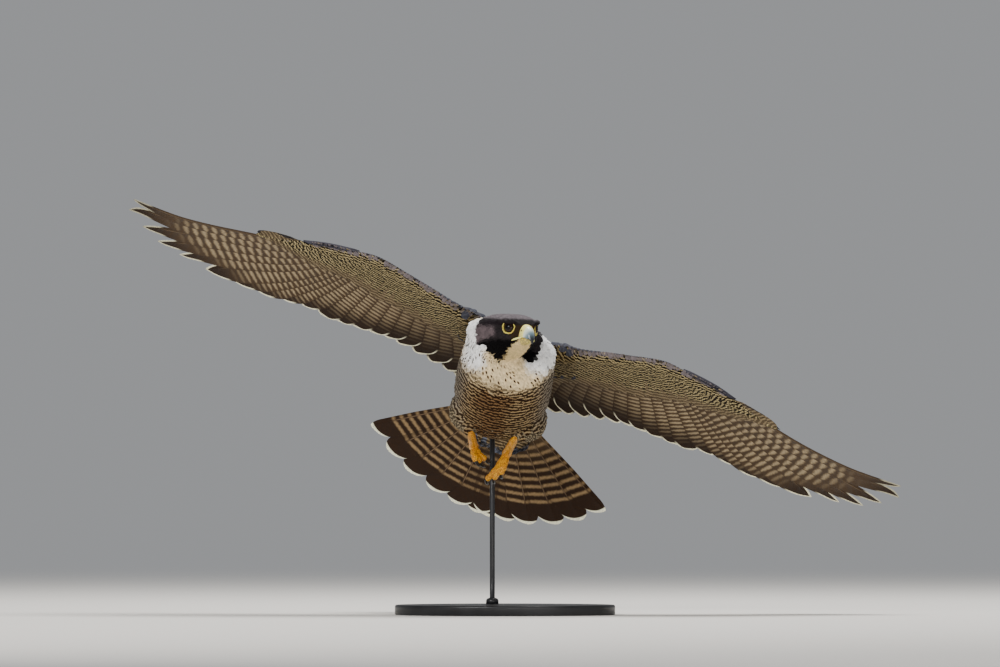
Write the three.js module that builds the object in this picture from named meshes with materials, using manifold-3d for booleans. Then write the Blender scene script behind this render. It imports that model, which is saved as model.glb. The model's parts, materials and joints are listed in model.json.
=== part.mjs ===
// A peregrine falcon in banking flight, life-size, held by a plain display stand.
// Millimetres, +Z up. The viewer stands on the -Y side. The origin is the middle of the
// base's underside. The bird is modelled in its own frame and turned into its pose by a
// group: there +X is its left, -Y its front and +Z its back.
import * as THREE from 'three';
import { mergeVertices } from 'three/addons/utils/BufferGeometryUtils.js';
import Module from 'manifold-3d';

const wasm = await Module();
wasm.setup();

const degree = Math.PI / 180;
const gap = 0.3; // left between neighbouring pieces

// Pose of the body
const bodyAt = new THREE.Vector3(2, 0, 291); // middle of the wing line over the floor
const bankAngle = 22.3; // the bird's right wing up
const climbAngle = 22; // breast lifted towards the viewer
const swingAngle = 6; // tail swung towards the bird's left

// Pose of the head, which stays almost level while the body banks
const headAt = new THREE.Vector3(12, -104, 336);
const headSwing = 28;
const headBank = 4;

// Eyes and bill, in the head's own frame: side, forward, up
const eyeSide = 13.2;
const eyeForward = 13;
const eyeUp = 1.8;
const eyeRadius = 8.5;
const socketRadius = 7.2;
const billBase = 28; // forward of the head's middle

// Tail fan
const tailRoot = new THREE.Vector3(-0.7, 110, 9.6);
const tailDroop = 26.2;
const tailSwing = 0.7;
const tailBank = 1.6;
const tailLength = 190; // from the fan's centre to a feather's tip
const tailVanes = { outer: 13, inner: 21 }; // half widths either side of the shaft
const tailEdgeVane = 5; // outer vane of the outermost feather
const tailAngles = [-51.3, -39.7, -29.6, -16.8, -6.3, 1.5, 6, 12, 20.6, 31.6, 41.9, 52.8];

// Wings: places along the half span, with what each has there
const rightReach = 1.018; // the raised wing is held a little straighter
const leftReach = 0.988;
const tipBend = 4.2; // the raised wing's hand bends up and the other's down by this
const frontEdge = [
  [40, 0], [65, -20], [105, -45], [140, -62], [178, -77], [205, -70], [245, -56],
  [285, -30], [325, -6], [365, 15], [400, 29], [430, 40], [460, 50], [487, 60],
];
const rearEdge = [
  [50, 130], [71, 120], [91, 112], [111, 103], [133, 95], [152, 89], [194, 90],
  [235, 92], [259, 92], [291, 102], [322, 116], [351, 124], [384, 130], [418, 122],
  [447, 114], [468, 97], [487, 72],
];
const frontHeight = [
  [16, 32], [34, 44], [52, 46], [75, 42.5], [110, 43], [180, 45], [300, 47], [420, 50], [487, 60],
];
const rearHeight = [
  [16, 8], [50, 20], [90, 22], [235, 22], [259, 25], [322, 31], [384, 37], [447, 43], [487, 52],
];
const wingCamber = [[50, 7], [180, 9], [300, 5], [430, 2], [487, 0]];
const wingThickness = [
  [30, 18], [55, 14], [80, 9], [130, 6.5], [185, 6], [250, 4], [330, 1.6], [480, 0.7],
];
const primaryReach = [259, 291, 322, 351, 384, 418, 447, 468, 487, 485];
const secondaryReach = [235, 216, 194, 173, 152, 133, 111, 91, 71, 56];
const wingVanes = { outer: 7, inner: 16 }; // half widths of a wing feather's two vanes
const featherThick = 0.9;
const featherTilt = 0.9; // each vane's rear edge lies under its neighbour by this

// Legs, placed by where they hang under the body
const thighTop = { side: 33, along: 34, up: -26 };
const ankles = { left: [11, 4, 207], right: [-40, 4, 214] };
const toeRoots = { left: [2, 44, 190], right: [-37, 42, 198] };
const shankRadii = [4.8, 4, 4.6]; // at the ankle, halfway and where the toes begin
const toeRadius = 3.7;

// Stand
const baseLength = 260;
const baseWidth = 200;
const baseHeight = 12;
const rodRadius = 3;
const rodAt = [-15, 63];
const rodSunk = 14; // how far the rod goes into the body

const finish = {
  plumage: { color: 0x9a9184, roughness: 0.85, metalness: 0 },
  hood: { color: 0x2f3036, roughness: 0.8, metalness: 0 },
  flight: { color: 0x5a4f45, roughness: 0.75, metalness: 0 },
  bill: { color: 0x8d98a0, roughness: 0.35, metalness: 0 },
  eye: { color: 0x140d08, roughness: 0.08, metalness: 0 },
  legs: { color: 0xd9a21e, roughness: 0.55, metalness: 0 },
  stand: { color: 0x2b2c2e, roughness: 0.45, metalness: 0.4 },
};

const bird = new THREE.Group();
bird.position.copy(bodyAt);
bird.rotation.set(-climbAngle * degree, bankAngle * degree, -swingAngle * degree, 'YXZ');
bird.updateMatrixWorld(true);
const poseBack = bird.quaternion.clone().invert();

// A place over the floor, in the bird's own frame
function inBird(x, y, z) {
  return new THREE.Vector3(x, y, z).sub(bodyAt).applyQuaternion(poseBack);
}

// Smooth curve through pairs of place and value
function along(knots, place) {
  const last = knots.length - 1;
  if (place <= knots[0][0]) return knots[0][1];
  if (place >= knots[last][0]) return knots[last][1];
  let k = 0;
  while (place > knots[k + 1][0]) k += 1;
  const slope = (i) => {
    const a = knots[Math.max(i - 1, 0)];
    const b = knots[Math.min(i + 1, last)];
    return (b[1] - a[1]) / (b[0] - a[0]);
  };
  const width = knots[k + 1][0] - knots[k][0];
  const t = (place - knots[k][0]) / width;
  const ease = t * t * (3 - 2 * t);
  const out = t * (1 - t) * (1 - t) * width * slope(k);
  const back = t * t * (t - 1) * width * slope(k + 1);
  return knots[k][1] * (1 - ease) + knots[k + 1][1] * ease + out + back;
}

// One closed body from corners and triangles, its faces turned outward
function closedBody(corners, triangles) {
  let volume = 0;
  const cross = new THREE.Vector3();
  for (const [a, b, c] of triangles) {
    volume += corners[a].dot(cross.crossVectors(corners[b], corners[c]));
  }
  const geometry = new THREE.BufferGeometry();
  const flat = corners.flatMap((p) => [p.x, p.y, p.z]);
  geometry.setAttribute('position', new THREE.Float32BufferAttribute(flat, 3));
  geometry.setIndex(triangles.flatMap(([a, b, c]) => (volume > 0 ? [a, b, c] : [a, c, b])));
  geometry.computeVertexNormals();
  return geometry;
}

// A skin over rings of equally many points, closed by a fan at each end
function loft(rings) {
  const sides = rings[0].length;
  const corners = rings.flat();
  const triangles = [];
  for (let r = 0; r + 1 < rings.length; r += 1) {
    for (let i = 0; i < sides; i += 1) {
      const a = r * sides + i;
      const b = r * sides + ((i + 1) % sides);
      triangles.push([a, b, a + sides], [b, b + sides, a + sides]);
    }
  }
  for (const [ring, turned] of [[0, true], [rings.length - 1, false]]) {
    const middle = corners.length;
    const centre = new THREE.Vector3();
    rings[ring].forEach((p) => centre.addScaledVector(p, 1 / sides));
    corners.push(centre);
    for (let i = 0; i < sides; i += 1) {
      const a = ring * sides + i;
      const b = ring * sides + ((i + 1) % sides);
      triangles.push(turned ? [b, a, middle] : [a, b, middle]);
    }
  }
  return closedBody(corners, triangles);
}

function solidOf(geometry) {
  const bare = geometry.clone();
  bare.deleteAttribute('normal');
  bare.deleteAttribute('uv');
  const merged = mergeVertices(bare, 1e-4);
  const vertProperties = new Float32Array(merged.attributes.position.array);
  const triVerts = new Uint32Array(merged.index.array);
  return new wasm.Manifold(new wasm.Mesh({ numProp: 3, vertProperties, triVerts }));
}

function geometryOf(solid) {
  const mesh = solid.getMesh();
  const geometry = new THREE.BufferGeometry();
  geometry.setAttribute('position', new THREE.Float32BufferAttribute(mesh.vertProperties, 3));
  geometry.setIndex(Array.from(mesh.triVerts));
  geometry.computeVertexNormals();
  return geometry;
}

function joined(geometries) {
  return geometries.map(solidOf).reduce((all, next) => all.add(next));
}

function addNode(group, name, geometry, look) {
  const mesh = new THREE.Mesh(geometry, new THREE.MeshStandardMaterial(look));
  mesh.name = name;
  group.add(mesh);
}

// Rings of the body, from the tail coverts' tip to the bill's base.
// wide is the half width; rise and drop are the heights over and under the ring's middle.
const axisX = new THREE.Vector3(1, 0, 0);
const axisY = new THREE.Vector3(0, 1, 0);
const axisZ = new THREE.Vector3(0, 0, 1);
const turnAbout = (axis, angle) => new THREE.Quaternion().setFromAxisAngle(axis, angle * degree);

const headTurn = poseBack.clone();
headTurn.multiply(turnAbout(axisZ, headSwing)).multiply(turnAbout(axisY, headBank));
const headMiddle = inBird(headAt.x, headAt.y, headAt.z);

function inHead(side, forward, up) {
  return new THREE.Vector3(side, -forward, up).applyQuaternion(headTurn).add(headMiddle);
}

const tailTurn = turnAbout(axisX, -tailDroop);
tailTurn.multiply(turnAbout(axisZ, -tailSwing)).multiply(turnAbout(axisY, tailBank));

function inTail(side, back, up) {
  return new THREE.Vector3(side, back, up).applyQuaternion(tailTurn).add(tailRoot);
}

function tailStation(back, wide, rise, drop) {
  return { at: inTail(0, back, 0), turn: tailTurn, wide, rise, drop, square: 2 };
}

function trunkStation(y, side, wide, top, bottom, twist) {
  const middle = (top + bottom) / 2;
  const half = (top - bottom) / 2;
  const at = new THREE.Vector3(side, y, middle);
  return { at, turn: turnAbout(axisY, twist), wide, rise: half, drop: half, square: 2.2 };
}

function headStation(forward, wide, rise, drop, square) {
  return { at: inHead(0, forward, 0), turn: headTurn, wide, rise, drop, square };
}

const stations = [
  tailStation(82, 20, 1.4, 2),
  tailStation(62, 42, 3.5, 4.5),
  tailStation(38, 42, 7, 9),
  tailStation(12, 36, 11, 15),
  trunkStation(98, 0, 38, 19, -33, -5),
  trunkStation(76, 1, 48, 26, -56, -9),
  trunkStation(48, 2, 54, 32, -72, -12),
  trunkStation(16, 3, 57, 36, -74, -12),
  trunkStation(-18, 3, 57, 38, -68, -12),
  trunkStation(-48, 3, 55, 37, -60, -12),
  trunkStation(-68, 3, 48, 34, -51, -12),
  headStation(-26, 38.5, 19, 41, 2.1),
  headStation(-10, 33, 19, 33, 2.2),
  headStation(1, 29.5, 18.6, 28, 2.3),
  headStation(9, 25.5, 18, 24, 2.4),
  headStation(16, 20.5, 15.8, 21, 2.4),
  headStation(22, 15.5, 12, 18.5, 2.3),
  headStation(billBase - gap, 9.2, 6, 15.5, 2.2),
];
const tailCut = 3.45; // stations where the nodes part
const neckCut = 10.2;
const headCut = 11.6;

function stationAt(place) {
  const k = Math.min(Math.floor(place), stations.length - 2);
  const t = place - k;
  const value = (pick) => along(stations.map((s, i) => [i, pick(s)]), place);
  return {
    at: new THREE.Vector3(value((s) => s.at.x), value((s) => s.at.y), value((s) => s.at.z)),
    turn: stations[k].turn.clone().slerp(stations[k + 1].turn, t),
    wide: value((s) => s.wide),
    rise: value((s) => s.rise),
    drop: value((s) => s.drop),
    square: value((s) => s.square),
  };
}

function ringOf(station, sides, grow, shift) {
  const { wide, rise, drop, square } = station;
  const ring = [];
  for (let i = 0; i < sides; i += 1) {
    const c = Math.cos((2 * Math.PI * i) / sides);
    const s = Math.sin((2 * Math.PI * i) / sides);
    const x = Math.sign(c) * Math.abs(c) ** (2 / square) * (wide + grow);
    const z = Math.sign(s) * Math.abs(s) ** (2 / square) * ((s > 0 ? rise : drop) + grow);
    ring.push(new THREE.Vector3(x, shift, z).applyQuaternion(station.turn).add(station.at));
  }
  return ring;
}

// The stretch of body between two stations; it starts a gap short of its neighbour
function bodyStretch(from, to, count, sides, grow = 0) {
  const rings = [];
  for (let r = 0; r <= count; r += 1) {
    const place = from + ((to - from) * r) / count;
    rings.push(ringOf(stationAt(place), sides, grow, r === 0 ? -gap : 0));
  }
  return loft(rings);
}

const bodySides = 24;
const trunkWhole = bodyStretch(tailCut, neckCut, 12, bodySides);
const trunkGrown = solidOf(bodyStretch(tailCut - 0.02, neckCut + 0.1, 12, bodySides, gap));
const neckGrown = solidOf(bodyStretch(neckCut - 0.1, headCut + 0.1, 4, bodySides, gap));
const tailGrown = solidOf(bodyStretch(0, tailCut + 0.05, 6, bodySides, gap));

// A thin feather blade over its own surface: places go from t = 0 at the root to 1 at the tip.
// Its inner vane lies on the side where x is less, seen along the feather from root to tip.
function featherBlade(root, tip, vanes, stretch, surface) {
  const axis = new THREE.Vector2(tip[0] - root[0], tip[1] - root[1]);
  const across = new THREE.Vector2(-axis.y, axis.x).normalize();
  const rings = stretch.map(([t, share]) => {
    const level = (side, off) => {
      const x = root[0] + axis.x * t + across.x * side;
      const y = root[1] + axis.y * t + across.y * side;
      return surface(x, y, off - (featherTilt * side) / vanes.inner);
    };
    const inner = Math.max(vanes.inner * share, 0.5);
    const outer = -Math.max(vanes.outer * Math.min(1.3 * share, 1), 0.5);
    const thick = featherThick / 2;
    const upper = [outer, 0, inner].map((side) => level(side, thick));
    const lower = [inner, 0, outer].map((side) => level(side, -thick));
    return [...upper, ...lower];
  });
  return loft(rings);
}

// Wing, made for the left side and mirrored for the right
function wingHeight(x, y, bend) {
  const front = along(frontEdge, x);
  const rear = along(rearEdge, x);
  const c = Math.min(Math.max((y - front) / (rear - front), 0), 1.15);
  const flat = along(frontHeight, x) * (1 - c) + along(rearHeight, x) * c;
  const lift = Math.min(Math.max((x - 240) / 130, 0), 1);
  const camber = along(wingCamber, x) * 4 * c * (1 - c);
  return flat + camber + bend * lift * lift * (3 - 2 * lift);
}

function wingPlate(bend, place) {
  const shares = [0, 0.03, 0.12, 0.36, 0.64];
  const rings = [];
  for (let x = 16; x <= 472; x += 28.5) {
    const front = along(frontEdge, x);
    const rear = along(rearEdge, x);
    const half = along(wingThickness, x);
    const swell = (c) => (c < 0.1 ? Math.sqrt(c / 0.1) : 1 - (c - 0.1) / 0.6);
    const upper = shares.map((c) => [front + (rear - front) * c, 0.35 + 0.6 * half * swell(c)]);
    const lower = shares.slice(1).reverse().map((c) => {
      return [front + (rear - front) * c, -0.35 - 0.9 * half * swell(c)];
    });
    rings.push([...upper, ...lower].map(([y, off]) => place(x, y, wingHeight(x, y, bend) + off)));
  }
  return loft(rings);
}

const wristAt = [182, -60];
const handEnd = [262, -38];
const elbowAt = [96, -14];
const bladeShares = [[0.5, 1], [0.9, 0.7], [1, 0.05]];
const fingerShares = [[0.45, 0.9], [0.7, 0.8], [0.92, 0.5], [1, 0.05]];

function wingFeathers(surface) {
  const mix = (a, b, t) => [a[0] + (b[0] - a[0]) * t, a[1] + (b[1] - a[1]) * t];
  const blades = [];
  primaryReach.forEach((reach, i) => {
    const root = mix(wristAt, handEnd, (i + 0.5) / primaryReach.length);
    const outermost = i === primaryReach.length - 1;
    const tip = [reach + 1, outermost ? 60 : along(rearEdge, reach) + 2];
    const vanes = outermost ? { outer: 4, inner: 13 } : wingVanes;
    blades.push(featherBlade(root, tip, vanes, i > 5 ? fingerShares : bladeShares, surface));
  });
  secondaryReach.forEach((reach, i) => {
    const root = mix(wristAt, elbowAt, (i + 0.5) / secondaryReach.length);
    blades.push(featherBlade(root, [reach, along(rearEdge, reach) + 2], wingVanes, bladeShares, surface));
  });
  return blades;
}

function alula(surface) {
  const shares = [[0, 0.9], [0.7, 0.9], [1, 0.1]];
  return featherBlade([204, -66], [286, -44], { outer: 5, inner: 12 }, shares, surface);
}

function wing(side) {
  const reach = side > 0 ? leftReach : rightReach;
  const bend = side > 0 ? -tipBend : tipBend;
  const place = (x, y, z) => new THREE.Vector3(side * reach * x, y, z);
  const surface = (x, y, off) => place(x, y, wingHeight(x, y, bend) + off);
  const pieces = [wingPlate(bend, place), ...wingFeathers(surface), alula(surface)];
  const whole = joined(pieces);
  return whole.subtract(trunkGrown).subtract(neckGrown).subtract(tailGrown);
}

// The largest piece of a solid, without the crumbs that a cut may leave
function mainPiece(solid) {
  return solid.decompose().reduce((best, next) => (next.volume() > best.volume() ? next : best));
}

addNode(bird, 'wing_left', geometryOf(mainPiece(wing(1))), finish.flight);
addNode(bird, 'wing_right', geometryOf(mainPiece(wing(-1))), finish.flight);

// Tail: twelve blades fanned from one centre, the middle pair uppermost, and the coverts
function tailFan() {
  const shares = [[0.22, 0.3], [0.6, 0.9], [0.92, 1], [1, 0.2]];
  return tailAngles.map((angle, i) => {
    const mirror = i < 6 ? -1 : 1; // the inner vane faces the tail's middle
    const turn = angle * degree;
    const surface = (x, y, off) => {
      const side = mirror * x * Math.cos(turn) + y * Math.sin(turn);
      const back = y * Math.cos(turn) - mirror * x * Math.sin(turn);
      return inTail(side, back, off);
    };
    const outer = i === 0 || i === tailAngles.length - 1 ? tailEdgeVane : tailVanes.outer;
    return featherBlade([0, 0], [0, tailLength], { ...tailVanes, outer }, shares, surface);
  });
}

const tailCoverts = bodyStretch(0, tailCut - 0.02, 6, 16);
const tailWhole = joined([tailCoverts, ...tailFan()]).subtract(trunkGrown);
addNode(bird, 'tail', geometryOf(mainPiece(tailWhole)), finish.flight);

// Thighs in their feathers, shanks, and feet with loosely closed toes
function tube(path, radii, sides) {
  const curve = new THREE.CatmullRomCurve3(path);
  const frames = curve.computeFrenetFrames(radii.length - 1);
  const rings = radii.map((radius, r) => {
    const at = curve.getPointAt(r / (radii.length - 1));
    const ring = [];
    for (let i = 0; i < sides; i += 1) {
      const angle = (2 * Math.PI * i) / sides;
      const point = at.clone();
      point.addScaledVector(frames.normals[r], Math.cos(angle) * radius);
      point.addScaledVector(frames.binormals[r], Math.sin(angle) * radius);
      ring.push(point);
    }
    return ring;
  });
  return loft(rings);
}

function thigh(side, ankle) {
  const turn = turnAbout(axisY, -12);
  const top = new THREE.Vector3(side * thighTop.side, thighTop.along, thighTop.up);
  top.applyQuaternion(turn);
  const low = inBird(...ankle);
  const knee = top.clone().lerp(low, 0.5).add(new THREE.Vector3(side * 4, 4, 0));
  const end = low.clone().lerp(top, 0.04);
  return tube([top, knee, end], [12, 22, 25, 23, 15, 6.5], 12);
}

function toe(start, reach, droop, radius) {
  const middle = start.clone().lerp(reach, 0.5).add(droop);
  return tube([start, middle, reach], [radius, radius, radius * 0.9, radius * 0.6], 6);
}

function claw(start, direction, curl, length) {
  const middle = start.clone().addScaledVector(direction, length * 0.6);
  const end = middle.clone().addScaledVector(direction, length * 0.15).addScaledVector(curl, length * 0.5);
  return tube([start, middle, end], [2.1, 1.6, 0.5], 5);
}

// Toes of one foot: where each ends from the toe root, and how its middle sags, over the floor
const toeEnds = {
  left: [[-24, -10, -31], [-16, -14, -30], [-7, -14, -24], [-8, 10, -16]],
  right: [[8, -16, -18], [3, -22, -17], [14, -10, -14], [5, 12, -14]],
};
const clawWay = { left: new THREE.Vector3(0.1, 0.75, -0.65), right: new THREE.Vector3(0.45, 0.55, -0.7) };
const clawCurl = new THREE.Vector3(0.2, 0.85, 0.5);

function shank(name, grow) {
  const ankle = inBird(...ankles[name]);
  const root = inBird(...toeRoots[name]);
  const radii = shankRadii.map((radius) => radius + grow);
  return tube([ankle, ankle.clone().lerp(root, 0.5), root], radii, 8);
}

function foot(name) {
  const rootSpot = toeRoots[name];
  const root = inBird(...rootSpot);
  const pieces = [shank(name, 0)];
  const way = clawWay[name].clone().applyQuaternion(poseBack).normalize();
  const curl = clawCurl.clone().applyQuaternion(poseBack).normalize();
  const sag = new THREE.Vector3(0, -7, -3).applyQuaternion(poseBack);
  for (const [x, y, z] of toeEnds[name]) {
    const end = inBird(rootSpot[0] + x, rootSpot[1] + y, rootSpot[2] + z);
    pieces.push(toe(root, end, sag, toeRadius), claw(end, way, curl, 14));
  }
  return joined(pieces);
}

for (const [name, side] of [['left', 1], ['right', -1]]) {
  const flesh = solidOf(thigh(side, ankles[name])).subtract(trunkGrown);
  const footSolid = foot(name).subtract(trunkGrown);
  const clear = solidOf(shank(name, 0.8));
  addNode(bird, 'thigh_' + name, geometryOf(mainPiece(flesh.subtract(clear))), finish.plumage);
  addNode(bird, 'foot_' + name, geometryOf(mainPiece(footSolid)), finish.legs);
}

// Head with its sockets, eyes and bill
function ballAt(centre, radius, across) {
  const ball = new THREE.SphereGeometry(radius, across, across / 2);
  return ball.translate(centre.x, centre.y, centre.z);
}

let headSolid = solidOf(bodyStretch(headCut, stations.length - 1, 10, bodySides));
for (const [name, side] of [['left', 1], ['right', -1]]) {
  const centre = inHead(side * eyeSide, eyeForward, eyeUp);
  const outside = inHead(side * (eyeSide + 15), eyeForward + 12, eyeUp + 1);
  const inner = inHead(side * (eyeSide + 1.5), eyeForward + 1.2, eyeUp);
  const well = tube([inner, outside], [socketRadius, socketRadius + 2], 10);
  headSolid = headSolid.subtract(solidOf(ballAt(centre, eyeRadius + gap, 12))).subtract(solidOf(well));
  addNode(bird, 'eye_' + name, ballAt(centre, eyeRadius, 12), finish.eye);
}
addNode(bird, 'head', geometryOf(mainPiece(headSolid)), finish.hood);
addNode(bird, 'neck', bodyStretch(neckCut, headCut, 4, bodySides), finish.hood);

// Upper bill: forward, half width, culmen height and cutting edge height of each ring
const upperBill = [
  [billBase, 8.4, 6, -8.4], [32, 8, 5.2, -8.8], [36, 6.8, 3, -9.2], [39.5, 5.2, -0.4, -9.8],
  [42, 3.6, -4.6, -11.2], [43.6, 2.2, -9.2, -13.4], [44, 0.9, -13.2, -16.2],
];
const lowerBill = [[billBase, 6.6, -8.9, -15.2], [32, 6, -9.2, -15], [35.5, 4.6, -9.6, -14.2], [37.8, 2, -10.2, -12.6]];

function billPiece(rows, sides, flatTop) {
  const rings = rows.map(([forward, half, top, bottom]) => {
    const ring = [];
    for (let i = 0; i < sides; i += 1) {
      const c = Math.cos((2 * Math.PI * i) / sides);
      const s = Math.sin((2 * Math.PI * i) / sides);
      const edge = flatTop ? top : bottom;
      const crown = flatTop ? bottom : top;
      const round = Math.abs(s) ** 0.8;
      const far = flatTop ? s < 0 : s > 0;
      const up = far ? edge + (crown - edge) * round : edge;
      ring.push(inHead(c * half * (far ? 1 : 0.96), forward, up + (far ? 0 : s * 0.2)));
    }
    return ring;
  });
  return loft(rings);
}

addNode(bird, 'bill_upper', billPiece(upperBill, 14, false), finish.bill);
addNode(bird, 'bill_lower', billPiece(lowerBill, 12, true), finish.bill);

// Stand: an oval base, and a rod into a blind hole in the body
const stand = new THREE.Group();
const outline = new THREE.Shape();
outline.absellipse(0, 0, baseLength / 2, baseWidth / 2, 0, 2 * Math.PI, false, 0);
const edgeRound = 2;
const baseShape = new THREE.ExtrudeGeometry(outline, {
  depth: baseHeight - edgeRound,
  bevelEnabled: true,
  bevelThickness: edgeRound,
  bevelSize: edgeRound,
  bevelOffset: -edgeRound,
  bevelSegments: 2,
  curveSegments: 16,
});
const bottomCut = new THREE.BoxGeometry(2 * baseLength, 2 * baseWidth, 2 * edgeRound);
bottomCut.translate(0, 0, -edgeRound);
addNode(stand, 'stand_base', geometryOf(solidOf(baseShape).subtract(solidOf(bottomCut))), finish.stand);

function rodBetween(low, high, radius, sides) {
  const rod = new THREE.CylinderGeometry(radius, radius, high - low, sides);
  rod.rotateX(Math.PI / 2);
  rod.translate(rodAt[0], rodAt[1], (high + low) / 2);
  return rod;
}

// Height of the body's underside over the rod's foot
function undersideHeight() {
  const ray = new THREE.Raycaster(new THREE.Vector3(rodAt[0], rodAt[1], 0), axisZ.clone());
  const trunkMesh = new THREE.Mesh(trunkWhole);
  trunkMesh.matrixWorld.copy(bird.matrixWorld);
  return ray.intersectObject(trunkMesh)[0].point.z;
}

const rodTop = undersideHeight() + rodSunk;
addNode(stand, 'stand_rod', rodBetween(baseHeight + gap, rodTop - gap, rodRadius, 16), finish.stand);
const hole = rodBetween(0, rodTop, rodRadius + gap, 16);
hole.applyMatrix4(bird.matrixWorld.clone().invert());
addNode(bird, 'trunk', geometryOf(mainPiece(solidOf(trunkWhole).subtract(solidOf(hole)))), finish.plumage);

const model = new THREE.Group();
model.add(bird, stand);

export default model;
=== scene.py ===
# Looks of a life-size peregrine falcon model in banking flight, on a plain stand.
# Shapes are worked out in millimetres in the bird's own frame (+X its left, -Y its front,
# +Z its back) and turned into the row frame, in metres, when a mesh is made.
import json
import math
from functools import partial

import bpy
import numpy as np
from mathutils import Matrix, Vector
from mathutils.bvhtree import BVHTree
from mathutils.kdtree import KDTree

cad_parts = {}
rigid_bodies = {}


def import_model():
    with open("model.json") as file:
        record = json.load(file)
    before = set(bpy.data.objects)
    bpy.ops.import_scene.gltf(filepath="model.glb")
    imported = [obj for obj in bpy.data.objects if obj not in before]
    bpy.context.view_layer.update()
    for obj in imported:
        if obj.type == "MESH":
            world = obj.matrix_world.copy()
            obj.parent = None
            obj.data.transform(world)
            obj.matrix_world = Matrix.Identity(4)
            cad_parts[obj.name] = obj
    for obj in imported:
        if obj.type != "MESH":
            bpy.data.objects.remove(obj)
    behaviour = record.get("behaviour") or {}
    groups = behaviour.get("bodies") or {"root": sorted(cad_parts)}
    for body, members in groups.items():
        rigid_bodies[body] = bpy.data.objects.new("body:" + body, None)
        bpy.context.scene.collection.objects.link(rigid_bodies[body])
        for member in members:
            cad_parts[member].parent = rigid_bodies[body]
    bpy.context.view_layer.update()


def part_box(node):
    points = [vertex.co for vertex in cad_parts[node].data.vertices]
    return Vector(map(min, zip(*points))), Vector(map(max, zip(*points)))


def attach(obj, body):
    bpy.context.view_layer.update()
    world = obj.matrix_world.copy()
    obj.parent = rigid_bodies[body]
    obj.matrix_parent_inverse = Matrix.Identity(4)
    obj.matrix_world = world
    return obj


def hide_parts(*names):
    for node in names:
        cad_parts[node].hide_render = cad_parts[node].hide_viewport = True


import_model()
print("frame loaded")

# Pose of the bird, as in the CAD
pose = {
    "at": (2, 0, 291), "bank": 22.3, "climb": 22, "swing": 6,
    "headAt": (12, -104, 336), "headSwing": 28, "headBank": 4,
    "tailRoot": (-0.7, 110, 9.6), "tailDroop": 26.2, "tailSwing": 0.7, "tailBank": 1.6,
}


def turnAbout(axis, angle):
    return np.array(Matrix.Rotation(math.radians(angle), 3, axis))


bodyTurn = turnAbout("Y", pose["bank"]) @ turnAbout("X", -pose["climb"]) @ turnAbout("Z", -pose["swing"])
bodyAt = np.array(pose["at"], float)


def toRow(points):
    return np.asarray(points, float) @ bodyTurn.T + bodyAt


def toBird(points):
    return (np.asarray(points, float) - bodyAt) @ bodyTurn


headTurn = bodyTurn.T @ turnAbout("Z", pose["headSwing"]) @ turnAbout("Y", pose["headBank"])
headMiddle = toBird(pose["headAt"])
tailTurn = turnAbout("X", -pose["tailDroop"]) @ turnAbout("Z", -pose["tailSwing"]) @ turnAbout("Y", pose["tailBank"])
tailRoot = np.array(pose["tailRoot"], float)
mirrorY = np.array((1, -1, 1), float)


def inHead(spots):  # side, forward, up from the head's middle
    return (np.asarray(spots, float) * mirrorY) @ headTurn.T + headMiddle


def headSpots(points):
    return ((points - headMiddle) @ headTurn) * mirrorY


def nearSide(spots):  # both sides of the head folded onto one
    return np.concatenate([np.abs(spots[..., :1]), spots[..., 1:]], axis=-1)


def inTail(spots):  # side, back, up from the fan's centre
    return np.asarray(spots, float) @ tailTurn.T + tailRoot


def turns(sides):  # the angles of a ring's corners
    return np.arange(sides) * 2 * math.pi / sides


def along(knots, place):  # smooth curve through pairs of place and value
    xs, ys = np.array(knots, float).T
    slopes = np.empty(len(xs))
    slopes[1:-1] = (ys[2:] - ys[:-2]) / (xs[2:] - xs[:-2])
    slopes[0] = (ys[1] - ys[0]) / (xs[1] - xs[0])
    slopes[-1] = (ys[-1] - ys[-2]) / (xs[-1] - xs[-2])
    p = np.clip(place, xs[0], xs[-1])
    k = np.clip(np.searchsorted(xs, p, side="right") - 1, 0, len(xs) - 2)
    width = xs[k + 1] - xs[k]
    t = (p - xs[k]) / width
    ease = t * t * (3 - 2 * t)
    out = t * (1 - t) ** 2 * width * slopes[k]
    back = t * t * (t - 1) * width * slopes[k + 1]
    return ys[k] * (1 - ease) + ys[k + 1] * ease + out + back


def through(rows, spots):  # smooth curve through rows of values, whose places are 0, 1, 2 and so on
    places = np.arange(len(rows))
    return np.stack([along(np.stack([places, column], -1), spots) for column in np.array(rows, float).T], -1)


def smoothPath(knots, count):
    t = np.linspace(0, 1, count)
    return through(knots, t * (len(knots) - 1)), t


def ramp(value, low, high):  # eased step from 0 at low to 1 at high
    t = np.clip((value - low) / (high - low), 0, 1)
    return t * t * (3 - 2 * t)


def unit(vectors):
    return vectors / np.maximum(np.linalg.norm(vectors, axis=-1, keepdims=True), 1e-9)


def mixed(a, b, share):  # a where share is 0, b where it is 1; a and b may be points or colours
    a, b, share = np.asarray(a, float), np.asarray(b, float), np.asarray(share, float)
    triples = share.ndim and share.shape[-1] != 3 and 3 in a.shape[-1:] + b.shape[-1:]
    if max(a.ndim, b.ndim) > share.ndim or triples:
        share = share[..., None]
    return a * (1 - share) + b * share


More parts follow.
